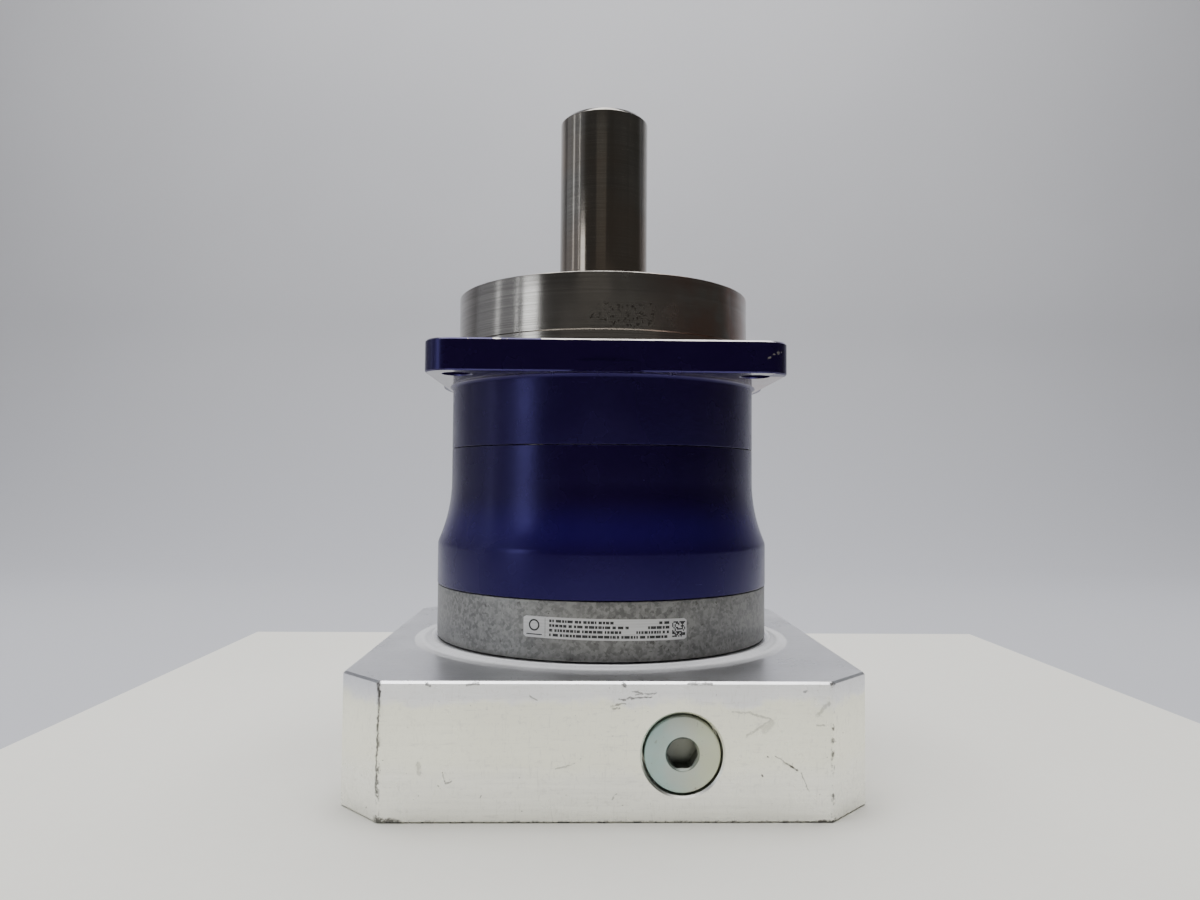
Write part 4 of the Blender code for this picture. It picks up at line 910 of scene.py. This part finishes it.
def tooth_outline(teeth, addendum, dedendum, thickening, first_tooth, flank_points=6):
    """An involute outline with a tooth centred on first_tooth."""
    pitch_r = MODULE * teeth / 2
    base_r = pitch_r * cos(PRESSURE_ANGLE)
    half_pitch_angle = (pi * MODULE / 2 + thickening) / 2 / pitch_r
    root_r, tip_r = pitch_r - dedendum, pitch_r + addendum
    heights = [root_r + (tip_r - root_r) * i / (flank_points - 1) for i in range(flank_points)]

    def half_width(radius):
        return half_pitch_angle + involute(PRESSURE_ANGLE) - involute(acos(base_r / max(radius, base_r)))

    outline = []
    for i in range(teeth):
        centre = first_tooth + tau * i / teeth
        outline += [polar(r, centre - half_width(r)) for r in heights]
        outline += [polar(r, centre + half_width(r)) for r in reversed(heights)]
    return outline


def helix_rings(teeth, outline, bottom, top, hand, slices=8):
    pitch_r = MODULE * teeth / 2
    rings = []
    for i in range(slices + 1):
        z = bottom + (top - bottom) * i / slices
        turn = Matrix.Rotation(hand * (z - MESH_LEVEL) * tan(HELIX_ANGLE) / pitch_r, 2)
        rings.append(flat([turn @ Vector(point) for point in outline], z))
    return rings


def planet_angle(index):
    return FIRST_PLANET + tau * index / PLANETS


def planet_centre(index):
    return (*polar(PLANET_CIRCLE_R, planet_angle(index)), 0.0)


def planet_first_tooth(index):
    """The angle that puts a gap of the planet on the sun's tooth, where the two pitch circles touch."""
    phi = planet_angle(index)
    sun_phase = -phi * SUN_TEETH / tau
    return phi + pi - (sun_phase + 0.5) * tau / PLANET_TEETH


def ring_first_space():
    phi = planet_angle(0)
    planet_phase = (planet_first_tooth(0) - phi) * PLANET_TEETH / tau
    return phi + planet_phase * tau / RING_TEETH


def make_planet(index, looks):
    number = index + 1
    centre = planet_centre(index)
    outline = tooth_outline(PLANET_TEETH, ADDENDUM, DEDENDUM, -TOOTH_THINNING, planet_first_tooth(index))
    bore = [polar(PLANET_BORE_R, atan2(y, x)) for x, y in outline]
    rings = [*helix_rings(PLANET_TEETH, outline, PLANET_BOTTOM, PLANET_TOP, -1),
             flat(bore, PLANET_TOP), flat(bore, PLANET_BOTTOM)]
    gear = move(lofted(f"planet_{number}_helical", rings, looks["gear"], loop=True), centre)
    on_body(gear, f"planet_{number}", "gear_steel", f"planet_gear_{number}")

    low, high = PLANET_BOTTOM + 1.0, PLANET_TOP - 1.0
    needles = [prism("needle", circle(1.2, 12, place), low + 1.2, high - 1.2) for place in spread(16, 9.5)]
    for z in (low, high - 1.0):
        needles.append(turned("cage_rim", [(8.7, z), (10.3, z), (10.3, z + 1.0), (8.7, z + 1.0)]))
    cage = move(merged(f"planet_{number}_needle_cage", needles, looks["race"]), centre)
    on_body(cage, f"needles_{number}", "hard_steel", f"planet_needles_{number}")

    pin = turned(f"planet_{number}_pin", rounded([(0, 85.2), (PIN_R, 85.2, 0.6), (PIN_R, 130.3, 0.6),
                                                  (0, 130.3)]), looks["race"], 64)
    on_body(move(pin, centre), "output", "hard_steel", f"planet_pin_{number}")
    for side, z in (("lower", 92.2), ("upper", 121.7)):
        washer = turned(f"planet_{number}_{side}_washer",
                        rounded([(8.4, z), (14.0, z, 0.2), (14.0, z + 0.9, 0.2), (8.4, z + 0.9)]),
                        looks["bronze"], 64)
        on_body(move(washer, centre), "output", "brass", f"planet_washer_{side}_{number}")


# ---------------------------------------------------------------- output shaft and bearings


def make_carrier(looks):
    profile = rounded([
        (22.3, 84.6, 0.5), (53.5, 84.6, 0.8), (53.5, 132.0, 0.8), (44.5, 132.0), (44.5, 132.9), (40.0, 132.9),
        (40.0, 153.6), (35.0, 154.6), (35.0, 183.6), (34.0, 184.2), (34.0, 189.8), (32.5, 191.0),
        (32.5, SHOULDER_TOP, 0.8), (SHAFT_R + 0.9, SHOULDER_TOP), (SHAFT_R, SHOULDER_TOP + 0.9),
        (SHAFT_R, SHAFT_TOP - 1.6, 0.3), (SHAFT_R - 1.6, SHAFT_TOP, 0.3), (8.8, SHAFT_TOP, 0.2),
        (7.0, SHAFT_TOP - 3.2), (7.0, SHAFT_TOP - 36.0), (0, SHAFT_TOP - 40.0), (0, 125.2), (22.3, 125.2)], 5)
    carrier = turned("planet_carrier_shaft", profile, None, FINE)
    tools = []
    for i in range(PLANETS):
        turn = Matrix.Rotation(planet_angle(i), 2)
        window = [(70.0, 22.3), *arc((PLANET_CIRCLE_R, 0.0), 22.3, 90, 270, 40), (70.0, -22.3)]
        tools.append(prism("window", [turn @ Vector(point) for point in window], 92.0, 122.8))
    cut(carrier, *tools)
    tools = [prism("pin_hole", circle(8.3, SMALL, planet_centre(i)[:2]), 80.0, 130.6) for i in range(PLANETS)]
    cut(carrier, *tools)
    two_looks(carrier, looks["shaft"], looks["bore"], lambda centre: centre.z < 190.0)
    on_body(carrier, "output", "steel", "planet_carrier")

    nut = turned("bearing_nut_slotted", rounded([(34.3, 184.2), (44.0, 184.2, 0.5), (44.0, 189.8, 0.5),
                                                 (34.3, 189.8)]), looks["black"])
    slots = [[Matrix.Rotation(pi / 4 + pi / 2 * i, 2) @ Vector(point)
              for point in ((41.0, -3.5), (50.0, -3.5), (50.0, 3.5), (41.0, 3.5))] for i in range(4)]
    cut(nut, *[prism("slot", outline, 180.0, 194.0) for outline in slots])
    on_body(nut, "output", "black_oxide", "bearing_nut")


def make_tapered_bearing(prefix, bore_r, cup_r, shoulder, way, looks):
    """Cup, cone and caged rollers, whose large ends point up where way is +1, and down where it is -1."""
    centre_r = (bore_r + cup_r) / 2
    roller_r, roller_half, middle, count = 3.4, 6.3, 10.5, 30
    cup_slope, cone_slope = tan(radians(12.0)), tan(radians(9.0))
    tilt = radians(10.5)

    def at(points):
        return [(point[0], shoulder + way * point[1], *point[2:]) for point in points]

    def cup_race(t):
        return centre_r + roller_r + 0.1 + (t - middle) * cup_slope

    def cone_race(t):
        return centre_r - roller_r - 0.1 + (t - middle) * cone_slope

    cup = [(cup_r - FIT, 0.2, 1.0), (cup_r - FIT, 16.0, 0.6), (cup_race(16.0), 16.0, 0.2),
           (cup_race(0.2), 0.2, 0.2)]
    ring = turned(prefix + "_outer_ring", rounded(at(cup)), looks["race"])
    on_body(ring, "housing", "hard_steel", prefix + "_cup")
    rib = cone_race(17.9) + 1.8
    cone = [(bore_r + FIT, 2.0, 0.5), (bore_r + FIT, 20.0, 0.8), (rib, 20.0, 0.4), (rib, 17.9, 0.1),
            (cone_race(17.9), 17.9), (cone_race(3.2), 3.2), (cone_race(3.2) + 1.2, 3.2),
            (cone_race(3.2) + 1.2, 2.0, 0.2)]
    ring = turned(prefix + "_inner_ring", rounded(at(cone)), looks["race"])
    on_body(ring, "output", "hard_steel", prefix + "_cone")
    parts = []
    taper = roller_half * tan(radians(1.5))
    small_r, large_r = roller_r - taper, roller_r + taper
    outline = [(0, -roller_half), (small_r - 0.4, -roller_half), (small_r, -roller_half + 0.4),
               (large_r, roller_half - 0.4), (large_r - 0.4, roller_half), (0, roller_half)]
    for i in range(count):
        roller = turned("roller", outline, None, 20)
        place = (Matrix.Rotation(tau * i / count, 4, "Z")
                 @ Matrix.Translation(Vector((centre_r, 0.0, shoulder + way * middle)) * MM)
                 @ Matrix.Rotation(way * tilt, 4, "Y") @ Matrix.Scale(way, 4, (0, 0, 1)))
        roller.data.transform(place)
        parts.append(roller)
    slope = tan(tilt)
    for low, high in ((3.0, 4.0), (17.0, 18.2)):
        rim = [(centre_r + (t - middle) * slope + side, t) for t, side in
               ((low, -0.7), (high, -0.7), (high, 0.7), (low, 0.7))]
        parts.append(turned("cage_rim", at(rim)))
    rollers = merged(prefix + "_roller_set", parts, looks["race"])
    on_body(rollers, prefix + "_rollers", "hard_steel", prefix + "_rollers")


def make_ball_bearing(looks):
    centre_r, middle, ball_r = 38.75, 67.0, 4.7
    bore_r, outside_r, low, high = 30.3, 46.95, 58.3, 76.0
    groove_r, land = ball_r + 0.1, 3.0
    edge = 3.6
    span = degrees(acos(land / groove_r))
    inner_groove = arc((centre_r, middle), groove_r, 180 + span, 180 - span, 12)
    outer_groove = arc((centre_r, middle), groove_r, span, -span, 12)
    inner = [(bore_r, low), (centre_r - land, low), *inner_groove, (centre_r - land, high), (bore_r, high)]
    outer = [(outside_r, low), (outside_r, high), (centre_r + land, high), *outer_groove,
             (centre_r + land, low)]
    for side, profile, body in (("inner", inner, "input"), ("outer", outer, "housing")):
        ring = turned(f"input_bearing_{side}", profile, looks["race"])
        on_body(ring, body, "hard_steel", f"input_bearing_{side}_race")
    bm = bmesh.new()
    for x, y in spread(18, centre_r):
        made = bmesh.ops.create_uvsphere(bm, u_segments=24, v_segments=14, radius=ball_r * MM)
        bmesh.ops.translate(bm, verts=made["verts"], vec=Vector((x, y, middle)) * MM)
    balls = new_object("balls", bm, None)
    cage = turned("cage", rounded([(centre_r - 1.1, middle - edge), (centre_r + 1.1, middle - edge),
                                   (centre_r + 1.1, middle + edge), (centre_r - 1.1, middle + edge)]))
    both = merged("input_bearing_ball_set", [balls, cage])
    two_looks(both, looks["race"], looks["bronze"],
              lambda centre: abs(hypot(centre.x, centre.y) - centre_r) < 1.2
              and abs(centre.z - middle) < edge + 0.1)
    on_body(both, "input_balls", "hard_steel", "input_bearing_balls")


# ---------------------------------------------------------------- input shaft, screws and rings


def make_screw(name, node, body, sizes, looks, location, rotation=(0, 0, 0)):
    """A cap screw along its own Z: the shank runs up from z = 0 and the head hangs below."""
    shank_r, length, head_r, head_h, hex_size = sizes
    profile = rounded([(0, length), (0, -head_h), (head_r, -head_h, 0.6), (head_r, 0), (shank_r, 0),
                       (shank_r, length, 0.6)], 3)
    screw = turned(name, profile, looks["black"], SMALL)
    cut(screw, prism("socket", hexagon(hex_size), -head_h - 1, -head_h * 0.45))
    on_body(move(screw, location, rotation), body, "black_oxide", node)


def make_input_shaft(looks):
    profile = rounded([
        (20.0, 8.0), (42.0, 8.0, 1.0), (42.0, 46.0, 1.0), (32.0, 46.0), (32.0, 58.0), (30.0, 58.0),
        (30.0, 76.3), (28.5, 76.3), (28.5, 78.5), (30.0, 78.5), (30.0, 83.0, 0.5), (20.0, 83.0),
        (20.0, 91.6, 0.5), (12.3, 91.6), (12.3, 81.0), (8.0, 81.0), (8.0, 80.5), (19.0, 80.5), (19.0, 9.0)])
    hub = turned("clamping_hub_turned", profile, looks["bore"], 128)
    slot = [(15.0, -1.2), (46.0, -1.2), (46.0, 1.2), (15.0, 1.2)]
    slit = [(-6.0, -46.0), (46.0, -46.0), (46.0, 46.0), (-6.0, 46.0)]
    cut(hub, prism("slot", slot, 6.0, 44.0))
    cut(hub, prism("slit", slit, 41.8, 44.2))
    bore = [(0, -34.0), (5.3, -34.0), (5.3, 0), (8.5, 0), (8.5, 30), (0, 30)]
    bore = turned("screw_hole", bore, None, SMALL)
    cut(hub, move(bore, (ACCESS_X, -14.0, ACCESS_Z), (pi / 2, 0.0, 0.0)))
    on_body(hub, "input", "steel", "clamping_hub")
    make_screw("clamp_screw_cap", "clamp_screw", "input", (5.0, 32.0, 8.0, 10.0, 8.0), looks,
               (ACCESS_X, -14.3, ACCESS_Z), (-pi / 2, 0.0, 0.0))
    outline = tooth_outline(SUN_TEETH, ADDENDUM, DEDENDUM, -TOOTH_THINNING, 0.0)
    gear = lofted("sun_teeth", helix_rings(SUN_TEETH, outline, 92.6, 122.2, 1))
    stem = turned("sun_stem", rounded([(0, 81.4), (12.0, 81.4, 0.8), (12.0, 94.0), (0, 94.0)]))
    on_body(merged("sun_pinion", [gear, stem], looks["gear"]), "input", "gear_steel", "sun_gear")


def make_fasteners(looks):
    for prefix, places, level, sizes in (("input_flange", FLANGE_SCREWS, 57.2, (3.0, 28.0, 5.0, 6.0, 5.0)),
                                         ("adapter_plate", PLATE_SCREWS, 17.4, (4.0, 44.0, 6.5, 8.0, 6.0))):
        for number, centre in enumerate(spread(*places), 1):
            node = f"{prefix.split('_')[1]}_screw_{number}"
            make_screw(f"{prefix}_screw_{number}", node, "housing", sizes, looks, (*centre, level))
    for name, inner_r, outer_r, low, high, body in (("bearing_circlip", 43.6, 50.2, 76.7, 78.7, "housing"),
                                                    ("hub_circlip", 29.0, 33.4, 76.6, 78.2, "input")):
        outline = arc((0, 0), outer_r, 102, 438, 90) + arc((0, 0), inner_r, 438, 102, 90)
        on_body(prism(name + "_spring", outline, low, high, looks["black"]), body, "black_oxide", name)


# ---------------------------------------------------------------- studio


def sheet(name, outline, look):
    bm = bmesh.new()
    bm.faces.new([bm.verts.new(Vector(point) * MM) for point in outline])
    new_object(name, bm, look)


def make_stage():
    paper = paper_look("cream_paper", (0.93, 0.92, 0.865), (0.89, 0.88, 0.825))
    # The backdrop's last colour is the painted shade of its curve.
    wall = paper_look("cool_backdrop", (0.65, 0.655, 0.69), (0.62, 0.625, 0.66), (0.54, 0.55, 0.60))
    sheet("paper_sheet", flat([(-262, -1500), (297, -1500), (297, 282), (-258, 282)], -0.05), paper)
    profile = [(-1500, -0.8), *arc((700, 399.2), 400.0, 270, 360, 24), (1100, 2200)]
    bm = bmesh.new()
    sides = [[bm.verts.new(Vector((x, y, z)) * MM) for y, z in profile] for x in (-2200, 2200)]
    for i in range(len(profile) - 1):
        bm.faces.new((sides[0][i], sides[1][i], sides[1][i + 1], sides[0][i + 1]))
    new_object("backdrop", bm, wall, 60.0)


def area_light(name, location, target, size, power, colour):
    data = bpy.data.lights.new(name, "AREA")
    data.shape = "RECTANGLE"
    data.size, data.size_y = size[0] * MM, size[1] * MM
    data.energy = power
    data.color = colour
    lamp = bpy.data.objects.new(name, data)
    bpy.context.scene.collection.objects.link(lamp)
    lamp.location = Vector(location) * MM
    lamp.rotation_euler = (Vector(target) - Vector(location)).to_track_quat("-Z", "Y").to_euler()


def make_world():
    """Soft grey all round, dark towards the viewer's side above the table, as in a room behind a camera."""
    world = bpy.data.worlds.new("studio")
    bpy.context.scene.world = world
    world.use_nodes = True
    n = Nodes(world.node_tree)
    background = n.tree.nodes["Background"]
    behind = n.length("DOT_PRODUCT", n.node("TexCoord").outputs["Generated"], (0.45, -0.9, -0.25))
    shade = n.mix(n.ramp(behind, -0.25, 0.15), (0.36, 0.37, 0.40), (0.085, 0.083, 0.080))
    n.put(background.inputs["Color"], shade)
    n.put(background.inputs["Strength"], 1.0)


def make_lights():
    area_light("overhead", (0, 100, 1700), (0, 60, 100), (1700, 1300), 42.0, (1.0, 0.99, 0.97))
    cool, warm = (0.93, 0.97, 1.0), (1.0, 0.93, 0.82)
    cards = (("window_edge", -88.0, 60.0, 20, 820, 0.20, cool),
             ("window_pane", -57.0, 210.0, 40, 540, 0.95, cool),
             ("window_gap", -69.0, 14.0, 20, 820, 0.12, cool),
             ("front_wall", 4.0, 1500.0, 300, 470, 0.050, warm),
             ("front_card", -8.0, 450.0, 480, 780, 0.035, warm))
    for name, azimuth, width, low, high, power, colour in cards:
        x, y = polar(1000.0, radians(azimuth - 90.0))
        middle = (low + high) / 2
        area_light(name, (x, y, middle), (0, 0, 170), (width, high - low), power, colour)


def make_camera():
    data = bpy.data.cameras.new("photo_camera")
    data.lens = CAMERA_LENS
    data.sensor_width = 36.0
    data.sensor_fit = "HORIZONTAL"
    data.clip_start = 0.01
    data.clip_end = 20.0
    camera = bpy.data.objects.new("photo_camera", data)
    bpy.context.scene.collection.objects.link(camera)
    camera.location = Vector(CAMERA_POSITION) * MM
    look = Vector(CAMERA_DIRECTION).to_track_quat("-Z", "Y")
    camera.rotation_euler = (look @ Quaternion((0, 0, 1), CAMERA_ROLL)).to_euler()
    bpy.context.scene.camera = camera


# ---------------------------------------------------------------- the whole scene


def main():
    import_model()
    looks = make_looks()
    make_output_housing(looks)
    make_ring_housing(looks)
    make_ring_gear(looks)
    make_input_flange(looks)
    make_adapter_plate(looks)
    make_plug(looks)
    make_label(looks)
    make_seals(looks)
    make_carrier(looks)
    for i in range(PLANETS):
        make_planet(i, looks)
    make_tapered_bearing("upper_bearing", 35.0, UPPER_CUP_R, UPPER_SEAT, 1, looks)
    make_tapered_bearing("lower_bearing", 40.0, LOWER_CUP_R, LOWER_SEAT, -1, looks)
    make_ball_bearing(looks)
    make_input_shaft(looks)
    make_fasteners(looks)
    make_stage()
    make_world()
    make_lights()
    make_camera()


main()
